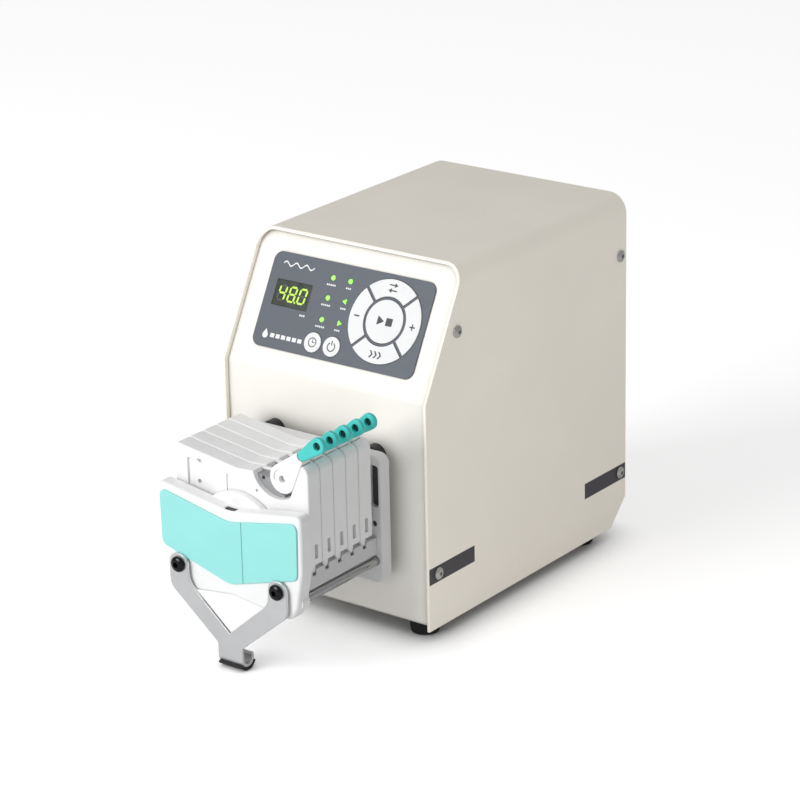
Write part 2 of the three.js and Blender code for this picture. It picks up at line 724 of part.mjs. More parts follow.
// Seats for the ends of the rails and rods, and for the bracket's screws, inside the cover.
function coverBosses() {
  const floor = COVER_FRONT + COVER_FACE - 0.5;
  const rods = [-ROD.x, ROD.x].map((x) => discY(ROD_BOSS, x, ROD.z, floor, COVER_REAR, 12));
  const rails = [-1, 1].map((sign) => {
    const edges = [sign * (RAIL.inner - 1.5), sign * (RAIL.outer + 2)].sort((a, b) => a - b);
    return box(edges[0], edges[1], floor, COVER_REAR, RAIL.bottom - 1, RAIL.seat + 1);
  });
  const screws = [-BRACKET_SCREW.x, BRACKET_SCREW.x].map((x) => {
    return discY(BRACKET_SCREW.head, x, BRACKET_SCREW.z, floor, COVER_REAR - 1, 12);
  });
  const hub = discY(ROTOR_HUB, 0, 0, floor, COVER_REAR, 16);
  return [hub, ...rods, ...rails, ...screws];
}

function frontCover() {
  const shell = slabY(coverOutline(0), COVER_FRONT, COVER_REAR);
  const hollow = slabY(coverOutline(COVER_WALL), COVER_FRONT + COVER_FACE, COVER_REAR + 1);
  const bossRear = COVER_REAR + COVER_BOSS.rise;
  const boss = discY(COVER_BOSS.radius, 0, 0, COVER_REAR - 1.5, bossRear, 32);
  const solid = join(cut(shell, hollow), boss, ...coverBosses());
  const bore = discY(SHAFT_RADIUS + PLAY, 0, 0, COVER_FRONT + COVER_FACE + 0.5, bossRear + 1, 16);
  const sockets = rodSockets(COVER_REAR - ROD.socket, COVER_REAR + 1);
  const threadEnd = COVER_FRONT + BRACKET_SCREW.length - 1;
  const threads = [-BRACKET_SCREW.x, BRACKET_SCREW.x].map((x) => {
    return discY(BRACKET_SCREW.shank + 0.2, x, BRACKET_SCREW.z, COVER_FRONT - 1, threadEnd, 10);
  });
  const { half, front, rear, low, high } = COVER_SLOT;
  return cut(solid, bore, ...sockets, ...threads, box(-half, half, front, rear, low, high));
}

// The coloured panel repeats the cover's V, and a fine groove divides it.
function coverPanel() {
  const points = outline(mirrored([
    [0, -23.2, 18],
    [52.3, -8.2, 5],
    [53, 28, 4],
    [0, 17.3, 22],
  ]));
  const panel = slabY(points, PANEL_FACE, COVER_FRONT - GAP);
  const { left, right, depth } = PANEL_GROOVE;
  const groove = box(left, right, PANEL_FACE - 1, PANEL_FACE + depth, -COVER_HALF, COVER_HALF);
  return cut(panel, groove);
}

// A rail with a tooth between every two cartridges.
function rail(sign) {
  const inner = sign * RAIL.inner;
  const outer = sign * RAIL.outer;
  const [left, right] = [Math.min(inner, outer), Math.max(inner, outer)];
  const [front, rear] = [COVER_REAR + GAP, PLATE_FRONT - GAP];
  const bar = box(left, right, front, rear, RAIL.bottom, RAIL.seat);
  const teeth = Array.from({ length: CHANNELS + 1 }, (_, i) => {
    const middle = CARTRIDGES_FRONT + i * PITCH - (PITCH - CARTRIDGE_WIDTH) / 2;
    const start = Math.max(front, middle - RAIL.tooth / 2);
    return box(left, right, start, middle + RAIL.tooth / 2, RAIL.seat - 1, RAIL.crest);
  });
  return join(bar, ...teeth);
}

function tieRod() {
  const front = COVER_REAR - ROD.socket + GAP;
  const rear = PLATE_FRONT + ROD.socket - GAP;
  return discY(ROD.radius, 0, ROD.z, front, rear, 16);
}

// ---- Pump head: rotor --------------------------------------------------------------------

const ROTOR_FRONT = CARTRIDGES_FRONT + 2 * PLAY;
const ROTOR_REAR = PLATE_FRONT - PLATE_BOSS.rise - PLAY - GAP;

function rollerPlaces() {
  return Array.from({ length: ROLLER_COUNT }, (_, i) => {
    const angle = Math.PI / 2 + (i * 2 * Math.PI) / ROLLER_COUNT;
    return { x: ROLLER_PITCH_RADIUS * Math.cos(angle), z: ROLLER_PITCH_RADIUS * Math.sin(angle) };
  });
}

function rotor() {
  const front = discY(ROTOR_RADIUS, 0, 0, ROTOR_FRONT, ROTOR_FRONT + ROTOR_DISC, 30);
  const rear = discY(ROTOR_RADIUS, 0, 0, ROTOR_REAR - ROTOR_DISC, ROTOR_REAR, 30);
  const hub = discY(ROTOR_HUB, 0, 0, ROTOR_FRONT + 1, ROTOR_REAR - 1, 16);
  const pins = rollerPlaces().map(({ x, z }) => {
    return discY(ROLLER_PIN_RADIUS, x, z, ROTOR_FRONT + 1, ROTOR_REAR - 1, 8);
  });
  const bore = discY(SHAFT_RADIUS + 0.15, 0, 0, ROTOR_FRONT - 1, ROTOR_REAR + 1, 16);
  return cut(join(hub, front, rear, ...pins), bore);
}

function driveShaft() {
  const end = RECESS + CHASSIS_SHEET + SHAFT_IN_MOTOR;
  return discY(SHAFT_RADIUS, 0, 0, COVER_FRONT + COVER_FACE + 1.5, end, 16);
}

function roller() {
  const front = ROTOR_FRONT + ROTOR_DISC + PLAY;
  const rear = ROTOR_REAR - ROTOR_DISC - PLAY;
  const tube = discY(ROLLER_RADIUS, 0, 0, front, rear, 20);
  return cut(tube, discY(ROLLER_PIN_RADIUS + 0.35, 0, 0, front - 1, rear + 1, 10));
}

// ---- Pump head: cartridges and levers ----------------------------------------------------

// The bridge-shaped side view: a sloped top, two legs and a round track over the rotor.
function cartridgeOutline() {
  const track = arcPoints(0, 0, ARCH_RADIUS, Math.PI, 0, 16).map(({ x, y }) => [x, y]);
  return outline([
    [-CARTRIDGE_HALF, CARTRIDGE_BOTTOM],
    [-ARCH_RADIUS, CARTRIDGE_BOTTOM],
    ...track,
    [ARCH_RADIUS, CARTRIDGE_BOTTOM],
    [CARTRIDGE_HALF, CARTRIDGE_BOTTOM],
    [CARTRIDGE_HALF, 58.5, 6],
    [44, 58.5, 2],
    [38, 49, 5],
    [11, 48, 20],
    [-2, 47, 20],
    [-50.8, 54, 2.5],
  ]);
}

// Room for the lever: a scoop in the top, closed on the right along the lever's edge.
function leverPocket() {
  const { x, z, radius, depth, above } = POCKET;
  const scoopStart = THREE.MathUtils.degToRad(175);
  const scoopEnd = THREE.MathUtils.degToRad(300);
  const wall = new THREE.Vector2(POCKET_WALL.x, POCKET_WALL.z);
  const rise = (above - POCKET_WALL.z) / Math.tan(POCKET_WALL.angle);
  const points = [
    new THREE.Vector2(x - radius, above),
    ...arcPoints(x, z, radius, scoopStart, scoopEnd, 8),
    wall,
    new THREE.Vector2(wall.x + rise, above),
  ];
  return slabY(points, -1, depth);
}

// Shallow fields in the face leave a border on the left and a rib in the middle.
function faceFields() {
  const left = outline([[-41.3, -20], [-16.6, -20], [-16.6, 43, 1.5], [-41.3, 46, 1.5]]);
  const middle = outline([[-10.6, -20], [4, -20], [4, 41, 1.5], [-10.6, 42, 1.5]]);
  return [slabY(left, -1, 1.3), slabY(middle, -1, 0.6)];
}

// One cartridge, drawn with its front face on y = 0.
function cartridge() {
  const body = slabY(cartridgeOutline(), 0, CARTRIDGE_WIDTH);
  const middle = CARTRIDGE_WIDTH / 2;
  const slot = box(
    -CARTRIDGE_HALF - 1,
    CARTRIDGE_HALF + 1,
    middle - TUBE_SLOT.width / 2,
    middle + TUBE_SLOT.width / 2,
    TUBE_SLOT.low,
    TUBE_SLOT.high,
  );
  const dowelHole = discY(DOWEL_HOLE.radius, DOWEL_HOLE.x, DOWEL_HOLE.z, -1, DOWEL_HOLE.depth, 8);
  const cutBody = cut(body, slot, dowelHole, leverPocket(), ...faceFields());
  const latches = [-LATCH.x, LATCH.x].map((x) => {
    const from = new THREE.Vector2(x, CARTRIDGE_BOTTOM + 1);
    const to = new THREE.Vector2(x, LATCH.z);
    const points = link(from, LATCH.radius, to, LATCH.radius, 5);
    return slabY(points, middle - LATCH.width / 2, middle + LATCH.width / 2);
  });
  const pin = discY(PIVOT.pin, PIVOT.x, PIVOT.z, 3, POCKET.depth + 1, 10);
  return join(cutBody, ...latches, pin);
}

// A lever with its pull ring, drawn about its pivot with its front face on y = 0.
function lever() {
  const hub = new THREE.Vector2(0, 0);
  const neck = new THREE.Vector2(NECK.x, NECK.z);
  const tip = new THREE.Vector2(RING.x, RING.z);
  const arm = slabY(link(hub, LEVER_HUB, neck, NECK.radius), 0, LEVER_THICKNESS);
  const grip = slabY(link(neck, NECK.radius, tip, RING.radius), 0, RING.thickness);
  const hole = discY(RING.hole, tip.x, tip.y, -1, RING.thickness + 1, 14);
  const bore = discY(PIVOT.pin + PLAY, 0, 0, -1, LEVER_THICKNESS + 1, 10);
  return cut(join(arm, grip), hole, bore);
}

// ---- Pump head: support bracket ----------------------------------------------------------

// Two arms from the cover's lower corners meet in a foot whose end curls back.
function supportBracket() {
  const top = BRACKET_SCREW.z + BRACKET_EYE;
  const { half, curl: radius, lift } = BRACKET_FOOT;
  const curlTop = -SHAFT_HEIGHT - lift;
  const outer = outline(mirrored([
    [0, curlTop],
    [half, curlTop],
    [half, -62.5, 3],
    [45.5, -33, 8],
    [45.3, top, 6.6],
    [31.4, top, 6.6],
    [31, -28, 12],
    [0, -54.4],
  ]));
  const rear = BRACKET_FACE + BRACKET_SHEET;
  const plate = slabY(outer, BRACKET_FACE, rear);
  const centreY = BRACKET_FACE + radius;
  const end = Math.PI + CURL_TURN;
  const curl = slabX([
    ...arcPoints(centreY, curlTop, radius, Math.PI, end, 10),
    ...arcPoints(centreY, curlTop, radius - BRACKET_SHEET, end, Math.PI, 10),
    new THREE.Vector2(rear, curlTop + 0.5),
    new THREE.Vector2(BRACKET_FACE, curlTop + 0.5),
  ], -half, half);
  const holes = [-BRACKET_SCREW.x, BRACKET_SCREW.x].map((x) => {
    return discY(BRACKET_HOLE, x, BRACKET_SCREW.z, BRACKET_FACE - 1, rear + 1, 12);
  });
  return cut(join(plate, curl), ...holes);
}

// A rubber pad wraps the underside of the curl and stands on the table.
function bracketPad() {
  const { half, curl, lift, pad } = BRACKET_FOOT;
  const centreY = BRACKET_FACE + curl;
  const centreZ = -SHAFT_HEIGHT - lift;
  const inner = curl + 2 * GAP;
  const wrapped = slabX([
    ...arcPoints(centreY, centreZ, inner + pad, PAD_START, PAD_END, 8),
    ...arcPoints(centreY, centreZ, inner, PAD_END, PAD_START, 8),
  ], -half, half);
  const sole = -FOOT_HEIGHT - SHAFT_HEIGHT;
  return common(wrapped, box(-20, 20, centreY - 20, centreY + 20, sole, 0));
}

// ---- Pump head: assembly -----------------------------------------------------------------

function addChannels(head) {
  const body = cartridge();
  const arm = lever();
  for (let channel = 1; channel <= CHANNELS; channel += 1) {
    const front = CARTRIDGES_FRONT + (channel - 1) * PITCH;
    add(head, `cartridge_${channel}`, body, WHITE_PLASTIC).position.y = front;
    const leverMesh = add(head, `occlusion_lever_${channel}`, arm, TEAL_PLASTIC);
    leverMesh.position.set(PIVOT.x, front + LEVER_INSET, PIVOT.z);
  }
}

function addRotor(head) {
  add(head, 'rotor', rotor(), SATIN_STEEL);
  add(head, 'drive_shaft', driveShaft(), STEEL);
  const tube = roller();
  rollerPlaces().forEach(({ x, z }, i) => {
    add(head, `roller_${i + 1}`, tube, STEEL).position.set(x, 0, z);
  });
}

function addSupport(head) {
  add(head, 'support_bracket', supportBracket(), SATIN_STEEL);
  add(head, 'bracket_foot_pad', bracketPad(), RUBBER);
  const { x, z } = BRACKET_SCREW;
  const screw = buttonScrew(BRACKET_SCREW);
  for (const [side, sign] of [['left', -1], ['right', 1]]) {
    const mesh = add(head, `bracket_screw_${side}`, screw, BLACK_STEEL);
    mesh.position.set(sign * x, BRACKET_FACE - GAP, z);
    mesh.rotation.x = Math.PI / 2;
  }
}

function buildHead() {
  const head = new THREE.Group();
  add(head, 'back_plate', backPlate(), GREY_PLASTIC);
  for (const [side, sign] of [['left', -1], ['right', 1]]) {
    const { x, z, radius } = HEAD_MOUNT;
    const boss = discY(radius, 0, 0, PLATE_REAR + GAP, RECESS - GAP, 24);
    add(head, `head_mount_${side}`, boss, BLACK_PLASTIC).position.set(sign * x, 0, z);
    add(head, `cartridge_rail_${side}`, rail(sign), WHITE_PLASTIC);
    add(head, `tie_rod_${side}`, tieRod(), STEEL).position.x = sign * ROD.x;
  }
  add(head, 'front_cover', frontCover(), WHITE_PLASTIC);
  add(head, 'cover_panel', coverPanel(), TEAL_PANEL);
  addRotor(head);
  addChannels(head);
  addSupport(head);
  head.position.z = SHAFT_HEIGHT;
  return head;
}

const pump = new THREE.Group();
const body = new THREE.Group();
body.position.set(0, -(DEPTH - FRONT_REACH) / 2, FOOT_HEIGHT);
body.add(buildDrive(), buildHead());
pump.add(body);

export default pump;
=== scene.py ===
# A bench-top peristaltic pump: fine meshes, materials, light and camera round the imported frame.
# Solids are drawn in millimetres in the drive's, the head's or the keypad's own frame, and
# then placed in the object's frame in metres.

import json
import math

import bmesh
import bpy
from mathutils import Matrix, Vector
from mathutils.geometry import tessellate_polygon

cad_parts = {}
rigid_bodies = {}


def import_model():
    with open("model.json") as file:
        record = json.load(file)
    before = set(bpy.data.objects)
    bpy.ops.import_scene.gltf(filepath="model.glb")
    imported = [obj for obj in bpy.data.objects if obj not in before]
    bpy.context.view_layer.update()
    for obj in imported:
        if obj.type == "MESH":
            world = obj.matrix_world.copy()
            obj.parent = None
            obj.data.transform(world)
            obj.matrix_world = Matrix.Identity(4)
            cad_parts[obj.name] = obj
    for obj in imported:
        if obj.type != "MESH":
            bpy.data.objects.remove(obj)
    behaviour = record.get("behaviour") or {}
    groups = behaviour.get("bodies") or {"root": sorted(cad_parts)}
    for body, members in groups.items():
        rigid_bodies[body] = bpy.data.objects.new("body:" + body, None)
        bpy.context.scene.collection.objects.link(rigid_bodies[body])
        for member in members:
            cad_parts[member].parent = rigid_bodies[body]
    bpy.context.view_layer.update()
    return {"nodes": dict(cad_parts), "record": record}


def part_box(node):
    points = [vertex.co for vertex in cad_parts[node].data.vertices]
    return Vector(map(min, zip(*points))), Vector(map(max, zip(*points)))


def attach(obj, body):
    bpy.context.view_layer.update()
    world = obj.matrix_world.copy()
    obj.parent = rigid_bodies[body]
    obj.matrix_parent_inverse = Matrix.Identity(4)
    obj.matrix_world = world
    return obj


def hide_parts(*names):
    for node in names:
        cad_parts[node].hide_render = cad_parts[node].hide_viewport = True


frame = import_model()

# ---- Frames and driving dimensions, in millimetres ------------------------------------------

MM = 0.001
FULL_TURN = 2 * math.pi
QUARTER = math.pi / 2

cover_low, cover_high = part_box("top_cover")
shaft_low, shaft_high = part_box("drive_shaft")
WIDTH = (cover_high.x - cover_low.x) / MM
DEPTH = (cover_high.y - cover_low.y) / MM
HEIGHT = (cover_high.z - cover_low.z) / MM
SHAFT_HEIGHT = (shaft_low.z + shaft_high.z) / 2 / MM - cover_low.z / MM
SHAFT_RADIUS = (shaft_high.x - shaft_low.x) / 2 / MM

GAP = 0.1
PLAY = 0.3
SLOPE_FOOT = 148
SLOPE_RUN = 42
CHAMFER = 17.5
BEND_RADIUS = 13
COVER_SHEET = 2
CHASSIS_SHEET = 1.5
RECESS = 3.2
BASE_LIFT = 1.6
FLANGE = 14
SLOPE_ANGLE = math.atan2(HEIGHT - SLOPE_FOOT, SLOPE_RUN)

OVERLAY = {"half_width": 62.3, "low": 12.4, "high": 73.3, "radius": 6, "thickness": 0.9}
DISPLAY = {"left": -55.2, "right": -27.5, "low": 39.4, "high": 56}
CLUSTER = {"x": 32.2, "s": 43.8, "outer": 26.5, "inner": 15.6, "centre": 13.6, "gap": 2}
SMALL_KEYS = {"key_timer": (-15.9, 21.6), "key_power": (-1.2, 21.6)}
SMALL_KEY_RADIUS = 6.3
KEY_PROUD = 0.7
LED_RADIUS = 1.6
LED_COLUMNS = (-14.2, -0.8)
LED_ROWS = (63.4, 50.5, 36.7)

CHANNELS = 5
PITCH = 12.2
CARTRIDGE_WIDTH = 11.9
CARTRIDGE_HALF = 52
ARCH_RADIUS = 31.5
PIVOT = Vector((32, 47.3))
LEVER_HUB = 9.4
NECK = Vector((13, 16))
RING = Vector((27, 26.3))
RING_RADIUS = 5.2
RING_HOLE = 2.6
RING_DEPTH = 3.6
COVER_FRONT = -92.5
COVER_REAR = -83
COVER_HALF = 55.6
COVER_BOSS = 33
PLATE_FRONT = -13
PLATE_REAR = -4
ROD = {"x": 48.5, "z": -24.5, "radius": 3}
BRACKET_SCREW = {"x": 38.2, "z": -18}

DRIVE = Matrix.Translation((0, cover_low.y, cover_low.z)) @ Matrix.Scale(MM, 4)
HEAD = DRIVE @ Matrix.Translation((0, 0, SHAFT_HEIGHT))

BODY_OF = {n: b for b, nodes in frame["record"]["behaviour"]["bodies"].items() for n in nodes}
SLOT_OF = {s["node"]: s["material_slot"] for s in frame["record"]["subparts"]}


def span(node, place):
    """The lowest and highest corner of a CAD node, in millimetres in a local frame."""
    inverse = place.inverted()
    low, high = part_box(node)
    return inverse @ low, inverse @ high


# ---- Outlines -------------------------------------------------------------------------------


def arc(x, y, radius, start, end):
    step = math.radians(6 if radius > 4 else 15)
    steps = max(2, math.ceil(abs(end - start) / step - 1e-6))
    angles = [start + (end - start) * i / steps for i in range(steps + 1)]
    return [Vector((x + radius * math.cos(a), y + radius * math.sin(a))) for a in angles]


def circle(radius, x=0, y=0):
    return arc(x, y, radius, 0, FULL_TURN)[:-1]


def cross(a, b):
    return a.x * b.y - a.y * b.x


def outline(corners):
    """Corners are (x, y) or (x, y, radius), and a radius replaces the corner with an arc."""
    points = []
    for i, corner in enumerate(corners):
        here = Vector(corner[:2])
        radius = corner[2] if len(corner) > 2 else 0
        if radius == 0:
            points.append(here)
            continue
        back = (Vector(corners[i - 1][:2]) - here).normalized()
        ahead = (Vector(corners[(i + 1) % len(corners)][:2]) - here).normalized()
        half = math.acos(max(-1, min(1, back.dot(ahead)))) / 2
        centre = here + (back + ahead).normalized() * (radius / math.sin(half))
        reach = radius / math.tan(half)
        first = here + back * reach - centre
        last = here + ahead * reach - centre
        start = math.atan2(first.y, first.x)
        turn = math.atan2(cross(first, last), first.dot(last))
        points += arc(centre.x, centre.y, radius, start, start + turn)
    return points


def rectangle(left, right, low, high, radius=0):
    return outline([(left, low, radius), (right, low, radius), (right, high, radius), (left, high, radius)])


def mirrored(right_half):
    """Both sides of a symmetric outline, from the corners of its right half."""
    return right_half + [(-c[0], *c[1:]) for c in reversed(right_half) if c[0] > 0]


def link(start, start_radius, end, end_radius):
    """Two circles and their outer tangents."""
    heading = math.atan2(end.y - start.y, end.x - start.x)
    lean = math.acos((start_radius - end_radius) / (end - start).length)
    return [
        *arc(start.x, start.y, start_radius, heading + lean, heading - lean + FULL_TURN),
        *arc(end.x, end.y, end_radius, heading - lean, heading + lean),
    ]


def polar(radius, angle):
    return Vector((radius * math.cos(angle), radius * math.sin(angle)))


def anticlockwise(points):
    area = sum(cross(points[i - 1], point) for i, point in enumerate(points))
    return points if area > 0 else points[::-1]


def shrunk(points, distance):
    """An anticlockwise outline with every edge moved inwards."""
    if distance == 0:
        return points
    moved = []
    for i, here in enumerate(points):
        before = (here - points[i - 1]).normalized()
        after = (points[(i + 1) % len(points)] - here).normalized()
        normals = Vector((-before.y - after.y, before.x + after.x))
        moved.append(here + normals * (distance / (1 + before.dot(after))))
    return moved


# ---- Solids ---------------------------------------------------------------------------------

AXES = {
    "X": lambda u, v, w: (w, u, v),
    "Y": lambda u, v, w: (u, w, v),
    "Z": lambda u, v, w: (u, v, w),
}
EASE_STEPS = 3


def solid(vertices, faces):
    """A new object from a closed mesh, with its faces pointing out."""
    mesh = bpy.data.meshes.new("solid")
    mesh.from_pydata([tuple(v) for v in vertices], [], faces)
    work = bmesh.new()
    work.from_mesh(mesh)
    bmesh.ops.recalc_face_normals(work, faces=work.faces)
    work.to_mesh(mesh)
    work.free()
    shape = bpy.data.objects.new("solid", mesh)
    bpy.context.scene.collection.objects.link(shape)
    return shape


def rim_levels(low, high, ease_low, ease_high):
    """(inset, height) steps up the wall of a slab whose rims are eased by a radius."""
    angles = [QUARTER * i / EASE_STEPS for i in range(EASE_STEPS + 1)]
    start = [(ease_low * (1 - math.sin(a)), low + ease_low * (1 - math.cos(a))) for a in angles]
    end = [(ease_high * (1 - math.cos(a)), high - ease_high * (1 - math.sin(a))) for a in angles]
    return (start if ease_low else [(0, low)]) + (end if ease_high else [(0, high)])


def prism(axis, outer, low, high, holes=(), ease_low=0.0, ease_high=0.0):
    """An outline with holes pushed from low to high along an axis."""
    turn = AXES[axis]
    levels = rim_levels(low, high, ease_low, ease_high)
    vertices, faces, caps = [], [], ([], [])
    for number, loop in enumerate([outer, *holes]):
        inwards = -1 if number else 1
        loop = anticlockwise(loop)
        count = len(loop)
        first = len(vertices)
        for inset, height in levels:
            vertices += [turn(p.x, p.y, height) for p in shrunk(loop, inwards * inset)]
        for level in range(len(levels) - 1):
            lower = first + level * count
            for i in range(count):
                j = (i + 1) % count
                faces.append((lower + i, lower + j, lower + count + j, lower + count + i))
        caps[0].append(range(first, first + count))
        caps[1].append(range(len(vertices) - count, len(vertices)))
    for rings in caps:
        if len(rings) == 1:
            faces.append(tuple(rings[0]))
            continue
        flat = [i for ring in rings for i in ring]
        loops = [[Vector(vertices[i]) for i in ring] for ring in rings]
        faces += [tuple(flat[i] for i in triangle) for triangle in tessellate_polygon(loops)]
    return solid(vertices, faces)


def box(left, right, front, rear, low, high, ease=0.0):
    return prism("Z", rectangle(left, right, front, rear), low, high, ease_low=ease, ease_high=ease)


def disc(radius, x, z, front, rear, **ease):
    return prism("Y", circle(radius, x, z), front, rear, **ease)


def turned(profile, sides=40):
    """A closed profile of (radius, height) pairs, turned about +Z."""
    vertices, faces, rings = [], [], []
    for radius, height in profile:
        count = sides if radius > 0 else 1
        rings.append([len(vertices) + i for i in range(count)])
        angles = [FULL_TURN * i / count for i in range(count)]
        vertices += [(radius * math.cos(a), radius * math.sin(a), height) for a in angles]
    for lower, upper in zip(rings, rings[1:]):
        for i in range(sides):
            j = (i + 1) % sides
            around = [(lower, i), (lower, j), (upper, j), (upper, i)]
            faces.append(tuple(dict.fromkeys(level[k % len(level)] for level, k in around)))
    return solid(vertices, faces)


def rounded_profile(corners):
    """A turned profile from (radius, height, rounding) corners."""
    return [(p.x, p.y) for p in outline(corners)]


def bake(shape):
    """Replaces the mesh by what its modifiers make of it."""
    evaluated = shape.evaluated_get(bpy.context.evaluated_depsgraph_get())
    old = shape.data
    result = bpy.data.meshes.new_from_object(evaluated)
    shape.modifiers.clear()
    shape.data = result
    bpy.data.meshes.remove(old)
    return shape


def combine(operation, target, tools):
    for tool in tools:
        modifier = target.modifiers.new(operation, "BOOLEAN")
        modifier.operation = operation
        modifier.solver = "MANIFOLD"
        modifier.object = tool
    bake(target)
    for tool in tools:
        mesh = tool.data
        bpy.data.objects.remove(tool)
        bpy.data.meshes.remove(mesh)
    return target


def join(target, *tools):
    return combine("UNION", target, tools)


def cut(target, *tools):
    return combine("DIFFERENCE", target, tools)


def common(target, *tools):
    return combine("INTERSECT", target, tools)


def grouped(shapes):
    """Separate solids carried by one object."""
    work = bmesh.new()
    for shape in shapes:
        work.from_mesh(shape.data)
    first, *others = shapes
    work.to_mesh(first.data)
    work.free()
    for shape in others:
        mesh = shape.data
        bpy.data.objects.remove(shape)
        bpy.data.meshes.remove(mesh)
    return first


def moved(shape, *transforms):
    for transform in transforms:
        shape.data.transform(transform)
    return shape


def copy_of(shape):
    twin = shape.copy()
    twin.data = shape.data.copy()
    bpy.context.scene.collection.objects.link(twin)
    return twin


def soften(shape, width, angle=40, segments=2):
    """Rounds the sharp edges of a solid drawn in millimetres."""
    modifier = shape.modifiers.new("bevel", "BEVEL")
    modifier.width = width
    modifier.segments = segments
    modifier.limit_method = "ANGLE"
    modifier.angle_limit = math.radians(angle)
    modifier.use_clamp_overlap = True
    return bake(shape)


# ---- Materials ------------------------------------------------------------------------------


class Look:
    """A node material on the object's own coordinates, in metres."""

    def __init__(self, name, colour, roughness, metallic=0.0):
        self.material = bpy.data.materials.new(name)
        self.material.use_nodes = True
        self.nodes = self.material.node_tree.nodes
        self.shader = self.nodes["Principled BSDF"]
        self.set("Base Color", (*colour, 1))
        self.set("Roughness", roughness)
        self.set("Metallic", metallic)
        self.colour = colour
        self.roughness = roughness
        self.normal = None
        self.coordinates = self.add("ShaderNodeTexCoord").outputs["Object"]

    def add(self, kind, inputs=None, **settings):
        node = self.nodes.new(kind)
        for key, value in settings.items():
            setattr(node, key, value)
        for key, value in (inputs or {}).items():
            self.connect(node, key, value)
        return node

    def connect(self, node, key, value):
        if isinstance(value, bpy.types.NodeSocket):
            self.material.node_tree.links.new(value, node.inputs[key])
        else:
            node.inputs[key].default_value = value

    def set(self, key, value):
        self.connect(self.shader, key, value)

    def noise(self, size_mm, detail=2.0, stretch=(1, 1, 1)):
        """Noise between 0 and 1 whose features are about size_mm across."""
        scale = [1 / (size_mm * MM * s) for s in stretch]
        mapping = self.add("ShaderNodeMapping", {"Vector": self.coordinates, "Scale": scale})
        texture = self.add(
            "ShaderNodeTexNoise", {"Vector": mapping.outputs[0], "Scale": 1.0, "Detail": detail}
        )
        return texture.outputs["Fac"]

    def ranged(self, value, low, high, start=0.3, end=0.7):
        node = self.add(
            "ShaderNodeMapRange",
            {"Value": value, "From Min": start, "From Max": end, "To Min": low, "To Max": high},
        )
        return node.outputs[0]

    def mottle(self, amount, size_mm=30):
        """Slow, slight change of colour over the surface."""
        dark = tuple(c * (1 - amount) for c in self.colour)
        light = tuple(min(1, c * (1 + amount)) for c in self.colour)
        mix = self.add("ShaderNodeMix", data_type="RGBA")
        self.connect(mix, 0, self.ranged(self.noise(size_mm), 0, 1))
        self.connect(mix, 6, (*dark, 1))
        self.connect(mix, 7, (*light, 1))
        self.tint = mix.outputs[2]
        self.set("Base Color", self.tint)
        return self

    def rough(self, amount, size_mm=8):
        varied = self.ranged(self.noise(size_mm, 4), self.roughness - amount, self.roughness + amount)
        self.set("Roughness", varied)
        return self

    def rounded(self, radius_mm):
        """Edges catch the light as if rounded by this radius."""
        self.normal = self.add("ShaderNodeBevel", {"Radius": radius_mm * MM}, samples=4).outputs[0]
        self.set("Normal", self.normal)
        return self

    def bump(self, size_mm, height_mm, strength=1.0, detail=2.0, stretch=(1, 1, 1)):
        height = self.noise(size_mm, detail, stretch)
        inputs = {"Height": height, "Distance": height_mm * MM, "Strength": strength}
        if self.normal is not None:
            inputs["Normal"] = self.normal
        self.normal = self.add("ShaderNodeBump", inputs).outputs[0]
        self.set("Normal", self.normal)
        return self

    def painted_crevice_shade(self, reach_mm, darkest=0.3, closed=0.05, clear=0.55):
        """Painted shade: the tint darkens where another surface is closer than the reach."""
        open_air = self.add("ShaderNodeAmbientOcclusion", {"Distance": reach_mm * MM}, samples=8)
        shade = self.ranged(open_air.outputs["AO"], darkest, 1, closed, clear)
        mix = self.add("ShaderNodeMix", {0: 1.0}, data_type="RGBA", blend_type="MULTIPLY")
        self.connect(mix, 6, self.tint)
        self.connect(mix, 7, shade)
        self.tint = mix.outputs[2]
        self.set("Base Color", self.tint)
        return self

    def worn(self, colour, radius_mm=0.5, amount=0.5):
        """A second tone along rubbed edges, broken up by noise."""
        geometry = self.add("ShaderNodeNewGeometry")
        wide = self.add("ShaderNodeBevel", {"Radius": radius_mm * MM}, samples=4)
        normals = {0: geometry.outputs["Normal"], 1: wide.outputs[0]}
        dot = self.add("ShaderNodeVectorMath", normals, operation="DOT_PRODUCT")
        edge = self.ranged(dot.outputs["Value"], amount, 0, 0.75, 0.98)
        broken = {0: edge, 1: self.ranged(self.noise(3, 4), 0.2, 1)}
        patchy = self.add("ShaderNodeMath", broken, operation="MULTIPLY")
        mix = self.add("ShaderNodeMix", {0: patchy.outputs[0]}, data_type="RGBA")
        self.connect(mix, 6, self.tint)
        self.connect(mix, 7, (*colour, 1))
        self.tint = mix.outputs[2]
        self.set("Base Color", self.tint)
        return self


def moulded(name, colour, roughness=0.42, mottle=0.02):
    """Injection-moulded plastic: a fine spark-eroded texture over soft edges, and painted shade where parts
    nearly touch.
    """
    look = Look(name, colour, roughness).mottle(mottle, 25).rough(0.05).rounded(0.25)
    pale = tuple(min(1, c * 1.12 + 0.02) for c in colour)
    # The 1.6 mm occlusion step paints shade into the gaps between parts.
    return look.worn(pale, 0.4, 0.25).painted_crevice_shade(1.6).bump(0.5, 0.012, 0.5, 3)


def powder_coat(name, colour, roughness):
    """Powder-coated sheet: fine orange peel, slight change of tone, paler edges."""
    look = Look(name, colour, roughness).mottle(0.018, 60).rough(0.05, 5).rounded(0.3)
    pale = tuple(min(1, c * 1.08 + 0.02) for c in colour)
    return look.worn(pale, 0.6, 0.5).bump(0.9, 0.02, 0.6, 3)


def brushed(name, colour, roughness, along):
    """Steel with hair-fine lines along one axis."""
    stretch = [1, 1, 1]
    stretch[along] = 60
    look = Look(name, colour, roughness, 1).mottle(0.03, 30).rough(0.04, 12).rounded(0.25)
    return look.bump(0.25, 0.003, 0.5, 2, stretch)


